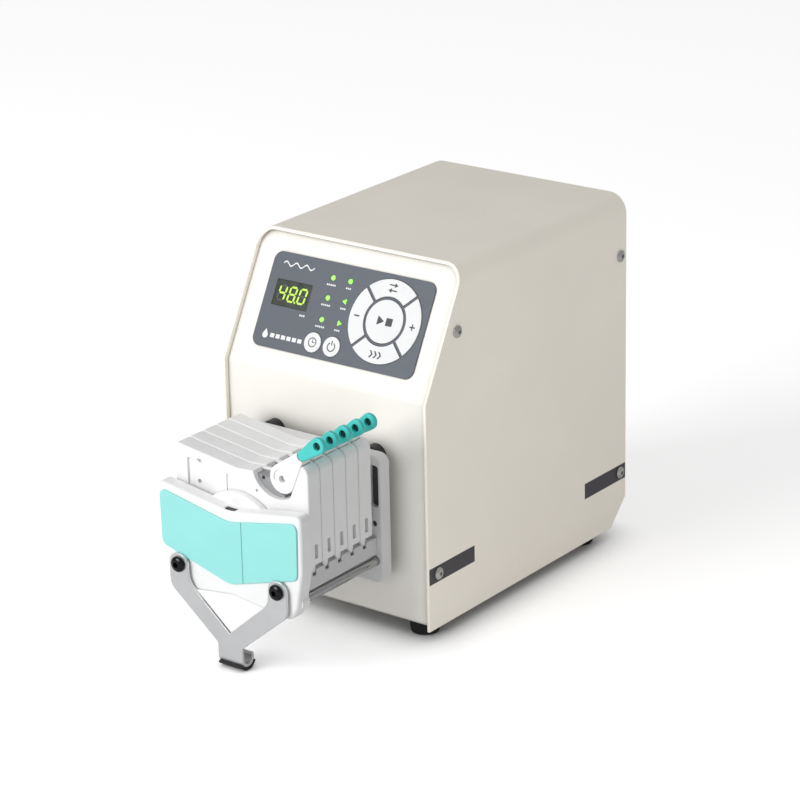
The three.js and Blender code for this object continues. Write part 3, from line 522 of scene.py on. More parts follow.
def polished(name, colour, roughness):
    look = Look(name, colour, roughness, 1).mottle(0.03, 6).rough(0.05, 3).rounded(0.15)
    return look.bump(2, 0.004, 0.4, 3)


def rubber(name, colour):
    look = Look(name, colour, 0.75).mottle(0.15, 6).rough(0.1, 2).rounded(0.3)
    return look.bump(0.35, 0.03, 0.8, 4)


def membrane(name, colour, roughness=0.5):
    """Printed polyester film with a fine matt texture."""
    look = Look(name, colour, roughness).mottle(0.012, 20).rough(0.04, 2).rounded(0.1)
    return look.bump(0.3, 0.006, 0.5, 2)


def glowing(name, colour, strength, halo=0.0):
    look = Look(name, colour, 0.3).mottle(0.05 + halo, 1.2).rough(0.05, 1)
    look.set("Emission Color", look.tint)
    look.set("Emission Strength", strength)
    return look


def circuit_board(name):
    """Solder mask with fine paler tracks."""
    look = Look(name, (0.02, 0.16, 0.07), 0.35).mottle(0.1, 10)
    pattern = {"Vector": look.coordinates, "Scale": 180.0, "Mortar Size": 0.03}
    tracks = look.add("ShaderNodeTexBrick", pattern)
    mix = look.add("ShaderNodeMix", {0: tracks.outputs["Fac"]}, data_type="RGBA")
    look.connect(mix, 6, look.tint)
    look.connect(mix, 7, (0.05, 0.3, 0.12, 1))
    look.set("Base Color", mix.outputs[2])
    return look.bump(0.4, 0.01, 0.5)


WHITE = (0.93, 0.93, 0.933)
LOOKS = {
    "cover_paint": powder_coat("cover_paint", (0.90, 0.85, 0.755), 0.42),
    # The panel paint darkens within 16 mm of other parts: painted shade beside the head's back plate and
    # along the cover's rim.
    "panel_paint": powder_coat("panel_paint", (0.84, 0.815, 0.765), 0.42).painted_crevice_shade(16, 0.55, 0.45, 0.9),
    "polished_screw": polished("polished_screw", (0.55, 0.54, 0.53), 0.2),
    "rubber": rubber("rubber", (0.012, 0.012, 0.013)),
    "motor_black": powder_coat("motor_black", (0.03, 0.03, 0.032), 0.4),
    "circuit_board": circuit_board("circuit_board"),
    "black_plastic": moulded("black_plastic", (0.013, 0.013, 0.014), 0.45, 0.1),
    "keypad_grey": membrane("keypad_grey", (0.085, 0.096, 0.119)),
    "display_smoke": Look("display_smoke", (0.018, 0.028, 0.016), 0.16).mottle(0.2, 4).rough(0.04, 5),
    "indicator_green": glowing("indicator_green", (0.26, 0.80, 0.08), 0.9, 0.15),
    "key_white": membrane("key_white", (0.85, 0.855, 0.86)),
    "grey_plastic": moulded("grey_plastic", (0.80, 0.80, 0.81)),
    "white_plastic": moulded("white_plastic", WHITE, 0.38),
    "teal_panel": moulded("teal_panel", (0.33, 0.80, 0.77), 0.36),
    "teal_plastic": moulded("teal_plastic", (0.07, 0.64, 0.60), 0.3, 0.04),
    "satin_steel": brushed("satin_steel", (0.72, 0.72, 0.73), 0.45, 2),
    "steel": brushed("steel", (0.74, 0.74, 0.75), 0.28, 1),
    "black_steel": polished("black_steel", (0.03, 0.03, 0.032), 0.18),
}
INK_DARK = membrane("ink_dark", (0.07, 0.07, 0.08), 0.6)
INK_WHITE = membrane("ink_white", (0.88, 0.88, 0.88), 0.6)
STRIPE_FILM = membrane("stripe_film", (0.065, 0.06, 0.068), 0.4)
DIGIT_LIT = glowing("digit_lit", (0.36, 0.58, 0.05), 0.8)
DIGIT_DIM = Look("digit_dim", (0.04, 0.055, 0.03), 0.3).mottle(0.1, 2).rough(0.05)
# Nearly black teal for the discs at the bottom of the grips' holes: painted shade.
RING_HOLE_SHADE_TEAL = moulded("ring_hole_painted_shade", (0.002, 0.03, 0.03), 0.5, 0.1)
# Darker grey for the lever pocket's floor and step: painted shade.
POCKET_SHADE_GREY = moulded("pocket_shade_grey", (0.34, 0.34, 0.35), 0.5)
RAIL_GREY = moulded("rail_grey", (0.66, 0.66, 0.67), 0.45)
ROD_STEEL = polished("rod_steel", (0.42, 0.42, 0.43), 0.16)
# Near black: painted shade for the bottom of the back plate's recesses and holes.
RECESS_SHADE_BLACK = moulded("recess_painted_shade", (0.07, 0.07, 0.075), 0.6)
PIN_BRASS = polished("pin_brass", (0.60, 0.45, 0.20), 0.25)


# ---- Fitting pieces into the frame ----------------------------------------------------------


def dress(shape, look, smooth_below=35):
    shape.data.materials.clear()
    shape.data.materials.append(look.material)
    shape.data.shade_smooth()
    shape.data.set_sharp_from_angle(angle=math.radians(smooth_below))


def detail(name, shape, place, body, slot, look=None):
    """A piece that rides on a body, with the finish of a slot of the record."""
    shape.name = shape.data.name = name
    moved(shape, place)
    dress(shape, look or LOOKS[slot])
    modifier = shape.modifiers.new("normals", "WEIGHTED_NORMAL")
    modifier.keep_sharp = True
    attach(shape, body)
    return shape


def install(node, shape, place, look=None):
    """A fine piece that stands for a CAD node."""
    detail(f"{node}_visual", shape, place, BODY_OF[node], SLOT_OF[node], look)
    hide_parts(node)
    return shape


# ---- Drive housing --------------------------------------------------------------------------


def side_outline(front=0.0, top=0.0, rear=0.0, bottom=0.0):
    """The drive's side view in (y, z), with each edge moved in by its own distance."""
    corners = [
        (0, 0),
        (DEPTH - CHAMFER, 0),
        (DEPTH, CHAMFER),
        (DEPTH, HEIGHT),
        (SLOPE_RUN, HEIGHT),
        (0, SLOPE_FOOT),
    ]
    insets = [bottom, rear, rear, top, front, front]
    edges = []
    for i, inset in enumerate(insets):
        start = Vector(corners[i])
        along = (Vector(corners[(i + 1) % len(corners)]) - start).normalized()
        edges.append((start + Vector((-along.y, along.x)) * inset, along))
    points = []
    for i, (point, along) in enumerate(edges):
        before, direction = edges[i - 1]
        distance = cross(point - before, along) / cross(direction, along)
        points.append(before + direction * distance)
    return points


def with_radii(points, radii):
    return outline([(p.x, p.y, r) for p, r in zip(points, radii)])


def archway(inset, low=-1.0):
    """The space inside the cover's bend, across the whole depth."""
    half, top, bend = WIDTH / 2 - inset, HEIGHT - inset, BEND_RADIUS - inset
    corners = [(half, low), (half, top, bend), (-half, top, bend), (-half, low)]
    return prism("Y", outline(corners), -1, DEPTH + 1)


def cover_path(inset):
    """Half the bent sheet's path in (x, z), from the bottom edge to the top bend."""
    half, top, bend = WIDTH / 2 - inset, HEIGHT - inset, BEND_RADIUS - inset
    leg = [Vector((half, z)) for z in (0, CHAMFER, SLOPE_FOOT)]
    right = leg + arc(half - bend, top - bend, bend, 0, QUARTER)
    return right + [Vector((-p.x, p.y)) for p in reversed(right)]


def top_cover():
    """A sheet bent over the top, with its ends cut to the slope and the rear bevel."""
    outside = cover_path(0)
    ring = outside + cover_path(COVER_SHEET)[::-1]
    count = len(ring)
    rise = HEIGHT - SLOPE_FOOT
    front = [(p.x, max(0.0, (p.y - SLOPE_FOOT) * SLOPE_RUN / rise), p.y) for p in ring]
    rear = [(p.x, DEPTH - max(0.0, CHAMFER - p.y), p.y) for p in ring]
    faces = [(i, (i + 1) % count, count + (i + 1) % count, count + i) for i in range(count)]
    for i in range(len(outside) - 1):
        opposite = count - 1 - i
        faces.append((i, i + 1, opposite - 1, opposite))
        faces.append((count + i, count + i + 1, count + opposite - 1, count + opposite))
    return soften(solid(front + rear, faces), 0.5, 50, 3)


def screw_centre(node):
    low, high = span(node, DRIVE)
    return (low + high) / 2


SHAFT_OPENING = 12
INLET_EDGE = 2.5
VENT_HALF = 1.5
VENT_CORNER = 1.4
REAR_VENTS = {"pitch": 9, "low": 150, "high": 190}
BASE_VENT_HALF_LENGTH = 22


def rear_vent(x):
    sides = (x - VENT_HALF, x + VENT_HALF, REAR_VENTS["low"], REAR_VENTS["high"])
    return rectangle(*sides, VENT_CORNER)


def base_vent(y):
    half = BASE_VENT_HALF_LENGTH
    return rectangle(-half, half, y - VENT_HALF, y + VENT_HALF, VENT_CORNER)


def chassis_openings():
    holes = [prism("Y", circle(SHAFT_OPENING, 0, SHAFT_HEIGHT), -1, FLANGE)]
    low, high = span("power_inlet", DRIVE)
    rear = DEPTH - RECESS - CHASSIS_SHEET - 1
    across = (low.x + INLET_EDGE, high.x - INLET_EDGE)
    holes.append(box(*across, rear, DEPTH, low.z + INLET_EDGE, high.z - INLET_EDGE))
    holes += [prism("Y", rear_vent(i * REAR_VENTS["pitch"]), rear, DEPTH) for i in range(-4, 5)]
    holes += [prism("Z", base_vent(y), 0, BASE_LIFT + 3) for y in range(70, 131, 10)]
    return holes


def display_rectangle(inset, radius=0):
    left, right = DISPLAY["left"] + inset, DISPLAY["right"] - inset
    return rectangle(left, right, DISPLAY["low"] + inset, DISPLAY["high"] - inset, radius)


def slope_openings():
    through = [prism("Z", circle(SMALL_KEY_RADIUS + 0.7, x, s), -3, 1) for x, s in SMALL_KEYS.values()]
    through += [prism("Z", circle(LED_RADIUS + 0.6, x, s), -3, 1) for x in LED_COLUMNS for s in LED_ROWS]
    through.append(prism("Z", circle(CLUSTER["outer"] + 1, CLUSTER["x"], CLUSTER["s"]), -3, 1))
    through.append(prism("Z", display_rectangle(-PLAY), -3, 1))
    to_drive = DRIVE.inverted() @ KEYPAD
    return [moved(tool, to_drive) for tool in through]


def chassis():
    """Front, slope, base and rear in one bent sheet, with side flanges."""
    half = WIDTH / 2 - COVER_SHEET - 0.2
    under = COVER_SHEET + 0.2
    skin = side_outline(RECESS, under, RECESS, BASE_LIFT)
    inner = RECESS + CHASSIS_SHEET
    hollow = side_outline(inner, -FLANGE, inner, BASE_LIFT + CHASSIS_SHEET)
    opening = side_outline(FLANGE, FLANGE, FLANGE, FLANGE)
    bends = [3, 4, 4, 0, 0, 7]
    sheet = prism("X", with_radii(skin, bends), -half, half)
    thinner = [max(0, r - CHASSIS_SHEET) for r in bends]
    cut(sheet, prism("X", with_radii(hollow, thinner), -half - 1, half + 1))
    for left in (-half, half - CHASSIS_SHEET):
        flange = prism("X", with_radii(skin, bends), left, left + CHASSIS_SHEET)
        join(sheet, cut(flange, prism("X", opening, left - 1, left + CHASSIS_SHEET + 1)))
    common(sheet, archway(under))
    return cut(sheet, *chassis_openings(), *slope_openings())


def button_screw(head, rise, shank, length, socket):
    """A domed screw along +Z with a hex socket, its head resting on z = 0."""
    angles = [QUARTER * i / 8 for i in range(9)]
    dome = [(head * math.cos(a), rise * (0.3 + 0.7 * math.sin(a))) for a in angles]
    dome[-1] = (0, rise)
    body = turned([(0, -length), (shank, -length), (shank, 0), (head - 0.2, 0), (head, 0.2), *dome])
    corners = [polar(socket, FULL_TURN * i / 6) for i in range(6)]
    hexagon = prism("Z", corners, rise * 0.35, rise + 1)
    return cut(body, hexagon)


def rubber_foot():
    rise = BASE_LIFT - GAP
    sole = -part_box("top_cover")[0].z / MM
    profile = [
        (0, sole + 4),
        (3.5, sole + 4, 0.5),
        (3.5, sole, 0.5),
        (8.9, sole, 1.2),
        (10, rise, 0.8),
        (3, rise),
        (3, rise + 4),
        (0, rise + 4),
    ]
    return turned(rounded_profile(profile), 56)


def side_stripes():
    """Dark film along the foot of both sides, at the front and at the rear."""
    rear_start = DEPTH - 48.5
    for side, sign in (("right", 1), ("left", -1)):
        for end, front, rear in (("front", 0.8, 48), ("rear", rear_start, DEPTH - 0.8)):
            faces = sorted((sign * WIDTH / 2, sign * (WIDTH / 2 + 0.08)))
            film = prism("X", rectangle(front, rear, 30.9, 41.6), *faces)
            detail(f"stripe_{side}_{end}", film, DRIVE, "pump_body", "black_plastic", STRIPE_FILM)


def build_housing():
    install("top_cover", top_cover(), DRIVE)
    install("chassis", chassis(), DRIVE)
    side_stripes()
    screw = button_screw(4, 2.1, 1.95, 5, 1.4)
    for node in SLOT_OF:
        if node.startswith("cover_screw"):
            sign = 1 if "right" in node else -1
            centre = screw_centre(node)
            centre.x = sign * (WIDTH / 2 + GAP)
            place = Matrix.Translation(centre) @ Matrix.Rotation(sign * QUARTER, 4, "Y")
            install(node, moved(copy_of(screw), place), DRIVE)
    bpy.data.objects.remove(screw)
    foot = rubber_foot()
    for node in SLOT_OF:
        if node.startswith("foot_"):
            low, high = span(node, DRIVE)
            middle = (low + high) / 2
            install(node, moved(copy_of(foot), Matrix.Translation((middle.x, middle.y, 0))), DRIVE)
    bpy.data.objects.remove(foot)


def build_rear():
    """The mains inlet with its pins, and the rocker switch above it."""
    low, high = span("power_inlet", DRIVE)
    x, z = (low.x + high.x) / 2, (low.z + high.z) / 2
    face = DEPTH - RECESS + GAP
    flange = prism("Y", rectangle(-24, 24, -30, 30, 3), face, face + 2, ease_high=0.6)
    body = box(-20, 20, face - 26, face + 1, -26, 26)
    opening = [(-12, -22, 2), (12, -22, 2), (12, -10), (8, -6), (-8, -6), (-12, -10)]
    well = prism("Y", outline(opening), face - 14, face + 3)
    window = prism("Y", rectangle(-14, 14, 4, 20, 1), face - 20, face + 3)
    shell = cut(join(flange, body), well, window)
    install("power_inlet", moved(shell, Matrix.Translation((x, 0, z))), DRIVE)
    blades = []
    for pin_x, pin_z in ((-7, -15.5), (0, -11.5), (7, -15.5)):
        outside = rectangle(pin_x - 1, pin_x + 1, pin_z - 2, pin_z + 2, 0.5)
        blades.append(prism("Y", outside, face - 16, face - 2, ease_high=0.5))
    pins = moved(grouped(blades), Matrix.Translation((x, 0, z)))
    detail("inlet_pins", pins, DRIVE, "pump_body", "steel", PIN_BRASS)
    rocker = prism(
        "X",
        outline([(4.2, -6.8, 0.6), (2.6, 0, 6), (4.2, 6.8, 0.6), (-5, 4, 1.5), (-5, -4, 1.5)]),
        -13.4,
        13.4,
        ease_low=0.4,
        ease_high=0.4,
    )
    tilt = Matrix.Rotation(math.radians(8), 4, "X")
    place = Matrix.Translation((x, DEPTH - RECESS - 2, z + 12)) @ tilt
    install("power_switch", moved(rocker, place), DRIVE)


# ---- Keypad ---------------------------------------------------------------------------------

panel_bend = side_outline(front=RECESS)[5]
KEYPAD = DRIVE @ Matrix.Translation((0, panel_bend.x, panel_bend.y)) @ Matrix.Rotation(SLOPE_ANGLE, 4, "X")
OVERLAY_TOP = GAP + OVERLAY["thickness"]
WINDOW_TOP = OVERLAY_TOP - 0.2
KEY_TOP = OVERLAY_TOP + KEY_PROUD


def led_outline(column, row, extra=0.0):
    x, s = LED_COLUMNS[column], LED_ROWS[row]
    if column == 0 or row == 0:
        return circle(LED_RADIUS + extra, x, s)
    heading = math.pi if row == 1 else 0
    tips = [polar((LED_RADIUS + extra) * 1.35, heading + FULL_TURN * i / 3) for i in range(3)]
    return outline([(x + t.x, s + t.y, 0.3) for t in tips])


def sector(heading, extra=0.0):
    """A quarter of the key ring, between two straight gaps."""
    half_gap = CLUSTER["gap"] / 2 - extra
    outer, inner = CLUSTER["outer"] + extra, CLUSTER["inner"] - extra
    outer_half = QUARTER / 2 - math.asin(half_gap / outer)
    inner_half = QUARTER / 2 - math.asin(half_gap / inner)
    x, s = CLUSTER["x"], CLUSTER["s"]
    return [
        *arc(x, s, outer, heading - outer_half, heading + outer_half),
        *arc(x, s, inner, heading + inner_half, heading - inner_half),
    ]


def key_outlines(extra=0.0):
    names = ("key_plus", "key_reverse", "key_minus", "key_prime")
    keys = {name: sector(i * QUARTER, extra) for i, name in enumerate(names)}
    keys["key_start_stop"] = circle(CLUSTER["centre"] + extra, CLUSTER["x"], CLUSTER["s"])
    for name, (x, s) in SMALL_KEYS.items():
        keys[name] = circle(SMALL_KEY_RADIUS + extra, x, s)
    return keys


def keypad_overlay():
    half = OVERLAY["half_width"]
    sheet = rectangle(-half, half, OVERLAY["low"], OVERLAY["high"], OVERLAY["radius"])
    holes = list(key_outlines(PLAY).values())
    holes += [led_outline(c, r, 0.15) for c in (0, 1) for r in (0, 1, 2)]
    holes.append(display_rectangle(0, 0.6))
    return prism("Z", sheet, GAP, OVERLAY_TOP, holes, ease_high=0.2)


def display_window():
    return prism("Z", display_rectangle(GAP, 0.5), -5, WINDOW_TOP, ease_high=0.15)


def light_guide():
    top = OVERLAY_TOP + 0.1
    posts = [prism("Z", led_outline(c, r), -3, top, ease_high=0.3) for c in (0, 1) for r in (0, 1, 2)]
    return join(prism("Z", rectangle(-18, 3, 33, 67, 1), -4, -2), *posts)


SEGMENTS = {
    "a": ((0, 2), (1, 2)),
    "b": ((1, 1), (1, 2)),
    "c": ((1, 0), (1, 1)),
    "d": ((0, 0), (1, 0)),
    "e": ((0, 0), (0, 1)),
    "f": ((0, 1), (0, 2)),
    "g": ((0, 1), (1, 1)),
}
LIT = {"0": "abcdef", "4": "bcfg", "8": "abcdefg"}
DIGIT_WIDTH = 4.9
DIGIT_HALF_HEIGHT = 4.6
DIGIT_SLANT = 0.12
STROKE = 0.62


def segment(ends, left, bottom):
    """One bar of a seven-segment digit, a long hexagon between two grid points."""
    points = []
    for column, row in ends:
        rise = row * DIGIT_HALF_HEIGHT
        points.append(Vector((left + column * DIGIT_WIDTH + rise * DIGIT_SLANT, bottom + rise)))
    along = (points[1] - points[0]).normalized()
    across = Vector((-along.y, along.x)) * STROKE
    start, end = points[0] + along * 0.25, points[1] - along * 0.25
    neck = along * STROKE
    one_side = [start, start + neck - across, end - neck - across]
    other_side = [end, end - neck + across, start + neck + across]
    return prism("Z", one_side + other_side, 0, 0.06)


def build_digits():
    place = KEYPAD @ Matrix.Translation((0, 0, WINDOW_TOP))
    bottom = (DISPLAY["low"] + DISPLAY["high"]) / 2 - DIGIT_HALF_HEIGHT
    pitch = 7.9
    first = (DISPLAY["left"] + DISPLAY["right"]) / 2 - 1.5 * pitch + 1.0
    lit, dim = [], []
    for i, character in enumerate("480"):
        for name, ends in SEGMENTS.items():
            chosen = lit if name in LIT[character] else dim
            chosen.append(segment(ends, first + i * pitch, bottom))
    point_x = first + pitch + DIGIT_WIDTH + 1.4
    lit.append(prism("Z", circle(0.65, point_x, bottom), 0, 0.06))
    detail("display_digits", grouped(lit), place, "pump_body", "indicator_green", DIGIT_LIT)
    detail("display_segments_off", grouped(dim), place, "pump_body", "display_smoke", DIGIT_DIM)


INK = 0.05


def bar(x, y, width, height):
    across, up = width / 2, height / 2
    return prism("Z", rectangle(x - across, x + across, y - up, y + up, 0.2), 0, INK)


def flat(points):
    return prism("Z", outline(points), 0, INK)


def ring(x, y, outer, inner, start=0.0, end=FULL_TURN):
    if end - start >= FULL_TURN:
        return prism("Z", circle(outer, x, y), 0, INK, [circle(inner, x, y)])
    return prism("Z", [*arc(x, y, outer, start, end), *arc(x, y, inner, end, start)], 0, INK)


def arrow(x, y, sign):
    """A straight arrow that points along +x or -x."""
    shaft, head, half = 3.2 * sign, 2.4 * sign, 1.5
    return flat([
        (x - shaft, y - 0.4),
        (x + shaft - head, y - 0.4),
        (x + shaft - head, y - half),
        (x + shaft, y),
        (x + shaft - head, y + half),
        (x + shaft - head, y + 0.4),
        (x - shaft, y + 0.4),
    ])


def icons():
    """Generic signs for the keys, each drawn round the middle of its key."""
    chevron = [(-1.4, -2.2), (-0.2, -2.2), (1.4, 0), (-0.2, 2.2), (-1.4, 2.2), (0.2, 0)]
    return {
        "key_plus": [flat([
            (-0.45, -2), (0.45, -2), (0.45, -0.45), (2, -0.45), (2, 0.45), (0.45, 0.45),
            (0.45, 2), (-0.45, 2), (-0.45, 0.45), (-2, 0.45), (-2, -0.45), (-0.45, -0.45),
        ])],
        "key_minus": [bar(0, 0, 4, 0.9)],
        "key_reverse": [arrow(0, 1.7, 1), arrow(0, -1.7, -1)],
        "key_prime": [flat([(x + shift, y) for x, y in chevron]) for shift in (-3.2, 0, 3.2)],
        "key_start_stop": [
            flat([(-5.2, -3, 0.3), (-0.2, 0, 0.3), (-5.2, 3, 0.3)]),
            prism("Z", rectangle(1.2, 6, -2.5, 2.5, 0.4), 0, INK),
        ],
        "key_timer": [ring(0, 0, 3.1, 2.5), bar(0, 1, 0.5, 2.2), bar(0.9, 0, 1.9, 0.5)],
        "key_power": [ring(0, -0.2, 3.1, 2.4, math.radians(120), math.radians(420)), bar(0, 2.2, 0.7, 3)],
    }


def key_middle(name):
    if name in SMALL_KEYS:
        return SMALL_KEYS[name]
    reach = (CLUSTER["outer"] + CLUSTER["inner"]) / 2
    headings = {"key_plus": 0, "key_reverse": 1, "key_minus": 2, "key_prime": 3}
    offset = polar(reach, headings[name] * QUARTER) if name in headings else Vector((0, 0))
    return CLUSTER["x"] + offset.x, CLUSTER["s"] + offset.y


def build_keys():
    for name, points in key_outlines().items():
        install(name, prism("Z", points, -1.3, KEY_TOP, ease_high=0.25), KEYPAD)
    for name, shapes in icons().items():
        x, s = key_middle(name)
        place = KEYPAD @ Matrix.Translation((x, s, KEY_TOP))
        detail(f"{name}_icon", grouped(shapes), place, BODY_OF[name], "black_plastic", INK_DARK)


def printed_marks():
    """Plain white marks where the keypad has its captions."""
    marks = []
    for column, x in enumerate(LED_COLUMNS):
        count = (5, 3)[column]
        for s in LED_ROWS:
            for i in range(count):
                marks.append(bar(x + (i - (count - 1) / 2) * 1.45, s - 4.6, 1.05, 1.1))
    marks += [bar(-31 + i * 1.5, 36.2, 1.1, 1.2) for i in range(3)]
    return marks


def drop(x, y, size):
    """A drop: a round belly drawn out to a point above."""
    lean = math.radians(35)
    belly = arc(x, y, size, math.pi - lean, FULL_TURN + lean)
    return prism("Z", [*belly, Vector((x, y + size * 1.9))], 0, INK)


def title_marks():
    """A wave, a drop and a row of plain bars in place of names."""
    wave = [Vector((-54 + i * 0.9, 66.2 + 1.3 * math.sin(i * QUARTER / 2.2))) for i in range(28)]
    above = [p + Vector((0, 0.5)) for p in wave]
    below = [p - Vector((0, 0.5)) for p in reversed(wave)]
    marks = [prism("Z", above + below, 0, INK), drop(-53.2, 20, 2.1)]
    marks += [bar(-47.6 + i * 4.3, 20.4, 3.2, 2.6) for i in range(6)]
    return marks


def build_keypad():
    install("keypad_overlay", keypad_overlay(), KEYPAD)
    install("display_window", display_window(), KEYPAD)
    install("led_light_guide", light_guide(), KEYPAD)
    build_digits()
    build_keys()
    print_place = KEYPAD @ Matrix.Translation((0, 0, OVERLAY_TOP))
    marks = grouped(printed_marks() + title_marks())
    detail("keypad_print", marks, print_place, "pump_body", "key_white", INK_WHITE)


# ---- Pump head: frame -----------------------------------------------------------------------


def plate_recess(sign):
    return rectangle(*sorted((sign * 45.6, sign * 52)), 11, 38, 2)


def back_plate():
    plate = prism("Y", rectangle(-54, 54, -39, 44, 6), PLATE_FRONT, PLATE_REAR, ease_low=1.2, ease_high=0.5)
    boss = disc(30.5, 0, 0, PLATE_FRONT - 4.2, PLATE_FRONT + 1, ease_low=0.6)
    tools = [disc(SHAFT_RADIUS + PLAY, 0, 0, -30, 0)]
    for sign in (-1, 1):
        tools.append(disc(ROD["radius"] + 0.15, sign * ROD["x"], ROD["z"], PLATE_FRONT - 1, PLATE_FRONT + 4))
        tools.append(disc(1.9, sign * 48.5, 0, PLATE_FRONT - 1, PLATE_FRONT + 5))
        tools.append(prism("Y", plate_recess(sign), PLATE_FRONT - 1, PLATE_FRONT + 5))
    return cut(join(plate, boss), *tools)


def cover_outline(inset):
    """The front cover: a dropped V on top, drawn-in sides and an arched bottom."""
    return outline(mirrored([
        (0, -30.7 + inset, 20),
        (46 - inset, -36.5 + inset, 7),
        (51 - inset, -28, 8),
        (COVER_HALF - inset, -4, 30),
        (COVER_HALF - inset, 32.5 - inset, 4),
        (0, 24 - inset, 25),
    ]))


def front_cover():
    wall = 2.5
    floor = COVER_FRONT + 3
    shell = prism("Y", cover_outline(0), COVER_FRONT, COVER_REAR, ease_low=2.2, ease_high=0.4)
    cut(shell, prism("Y", cover_outline(wall), COVER_FRONT + 3.5, COVER_REAR + 1))
    boss = disc(COVER_BOSS, 0, 0, COVER_REAR - 1.5, COVER_REAR + 2.5, ease_low=0.8)
    inside = [boss, disc(9, 0, 0, floor, COVER_REAR)]
    tools = [disc(SHAFT_RADIUS + PLAY, 0, 0, COVER_FRONT + 4, COVER_REAR + 5)]
    for sign in (-1, 1):
        inside.append(disc(4.6, sign * ROD["x"], ROD["z"], floor, COVER_REAR))
        inside.append(box(*sorted((sign * 42, sign * 52)), floor, COVER_REAR, -20.5, -12))
        screw_at = (sign * BRACKET_SCREW["x"], BRACKET_SCREW["z"])
        inside.append(disc(5, *screw_at, floor, COVER_REAR - 1))
        tools.append(disc(ROD["radius"] + 0.15, sign * ROD["x"], ROD["z"], COVER_REAR - 4, COVER_REAR + 1))
        tools.append(disc(2.5, *screw_at, COVER_FRONT - 1, COVER_FRONT + 7))
    tools.append(prism("Z", rectangle(-4.4, 4.4, -91, -86.5, 1.2), 18, 30))
    return cut(join(shell, *inside), *tools)


def cover_panel():
    """The coloured panel repeats the cover's V, and a fine groove divides it."""
    front = COVER_FRONT - GAP - 1.1
    points = outline(mirrored([(0, -23.2, 18), (52.3, -8.2, 5), (53, 28, 4), (0, 17.3, 22)]))
    panel = prism("Y", points, front, COVER_FRONT - GAP, ease_low=0.45)
    groove = prism("Y", rectangle(10.4, 11.1, -40, 40), front - 1, front + 0.35)
    return cut(panel, groove)


def rail(sign):
    """A rail with a tooth between every two cartridges, and a lip outside on the right."""
    left, right = sorted((sign * 43.5, sign * 50))
    front = COVER_REAR + GAP
    shape = box(left, right, front, PLATE_FRONT - GAP, -19.5, -13)
    first = span("cartridge_1", HEAD)[0].y - 0.15
    crests = []
    for i in range(CHANNELS + 1):
        middle = first + i * PITCH
        start = max(front, middle - 3.3)
        corners = [(start, -14), (middle + 3.3, -14), (middle + 3.3, -8.5, 0.6), (start, -8.5, 0.6)]
        crests.append(prism("X", outline(corners), left, right))
    if sign < 0:
        return soften(join(shape, *crests), 0.3, 50)
    crests.append(box(right - 0.9, right, front, PLATE_FRONT - GAP, -14, -8.8))
    join(shape, *crests)
    middles = [first + (i + 0.5) * PITCH for i in range(CHANNELS)]
    notches = [box(right - 0.95, right + 1, y - 1.8, y + 1.8, -12.2, -8) for y in middles]
    return soften(cut(shape, *notches), 0.25, 50)


def build_frame():
    install("back_plate", back_plate(), HEAD)
    for side, sign in (("left", -1), ("right", 1)):
        low, high = span(f"head_mount_{side}", HEAD)
        middle = (low + high) / 2
        boss = disc((high.x - low.x) / 2, middle.x, middle.z, low.y, high.y, ease_low=1.2)
        install(f"head_mount_{side}", boss, HEAD)
        install(f"cartridge_rail_{side}", rail(sign), HEAD, RAIL_GREY)
        # A near-black floor in each recess and a disc deep in each hole: painted shade, not parts of the
        # plate.
        floor = prism("Y", shrunk(plate_recess(sign), 0.05), PLATE_FRONT + 3, PLATE_FRONT + 4.9)
        hole_shade_disc = disc(1.85, sign * 48.5, 0, PLATE_FRONT + 1, PLATE_FRONT + 4.9)
        recess = grouped([floor, hole_shade_disc])
        detail(f"plate_recess_{side}", recess, HEAD, "pump_body", "grey_plastic", RECESS_SHADE_BLACK)
        low, high = span(f"tie_rod_{side}", HEAD)
        rod = disc(ROD["radius"], sign * ROD["x"], ROD["z"], low.y, high.y, ease_low=0.4)
        install(f"tie_rod_{side}", rod, HEAD, ROD_STEEL)
    install("front_cover", front_cover(), HEAD)
    # A black block just under the mouth of the cover's slot: painted shade, so the slot reads dark.
    slot_shade = prism("Z", rectangle(-4.5, 4.5, -91.1, -86.4, 1.2), 21, 23.9)
    detail("cover_slot_painted_shade", slot_shade, HEAD, "pump_body", "black_plastic")
    install("cover_panel", cover_panel(), HEAD)


# ---- Pump head: rotor -----------------------------------------------------------------------

ROLLERS = 6
ROLLER_RADIUS = 5.5
ROLLER_RING = 22.5


def build_rotor():
    low, high = span("rotor", HEAD)
    places = [polar(ROLLER_RING, QUARTER + FULL_TURN * i / ROLLERS) for i in range(ROLLERS)]
    plate = 2.5
    shape = disc(27, 0, 0, low.y, low.y + plate, ease_low=0.5, ease_high=0.3)
    parts = [disc(27, 0, 0, high.y - plate, high.y, ease_low=0.3, ease_high=0.5)]
    parts.append(disc(9, 0, 0, low.y + 1, high.y - 1))
    parts += [disc(2, p.x, p.y, low.y + 1, high.y - 1) for p in places]
    windows = []
    for i in range(ROLLERS):
        hole = polar(16, FULL_TURN * i / ROLLERS + math.radians(60))
        windows.append(disc(2.6, hole.x, hole.y, low.y - 1, low.y + 4))
    bore = disc(SHAFT_RADIUS + 0.15, 0, 0, low.y - 1, high.y + 1)
    install("rotor", cut(join(shape, *parts), bore, *windows), HEAD)
    low, high = span("drive_shaft", HEAD)
    install("drive_shaft", disc(SHAFT_RADIUS, 0, 0, low.y, high.y, ease_low=0.6, ease_high=0.6), HEAD)
    for i, p in enumerate(places, 1):
        low, high = span(f"roller_{i}", HEAD)
        bore = [circle(2.35, p.x, p.y)]
        tube = prism("Y", circle(ROLLER_RADIUS, p.x, p.y), low.y, high.y, bore, ease_low=0.4, ease_high=0.4)
        install(f"roller_{i}", tube, HEAD)


# ---- Pump head: cartridges and levers -------------------------------------------------------


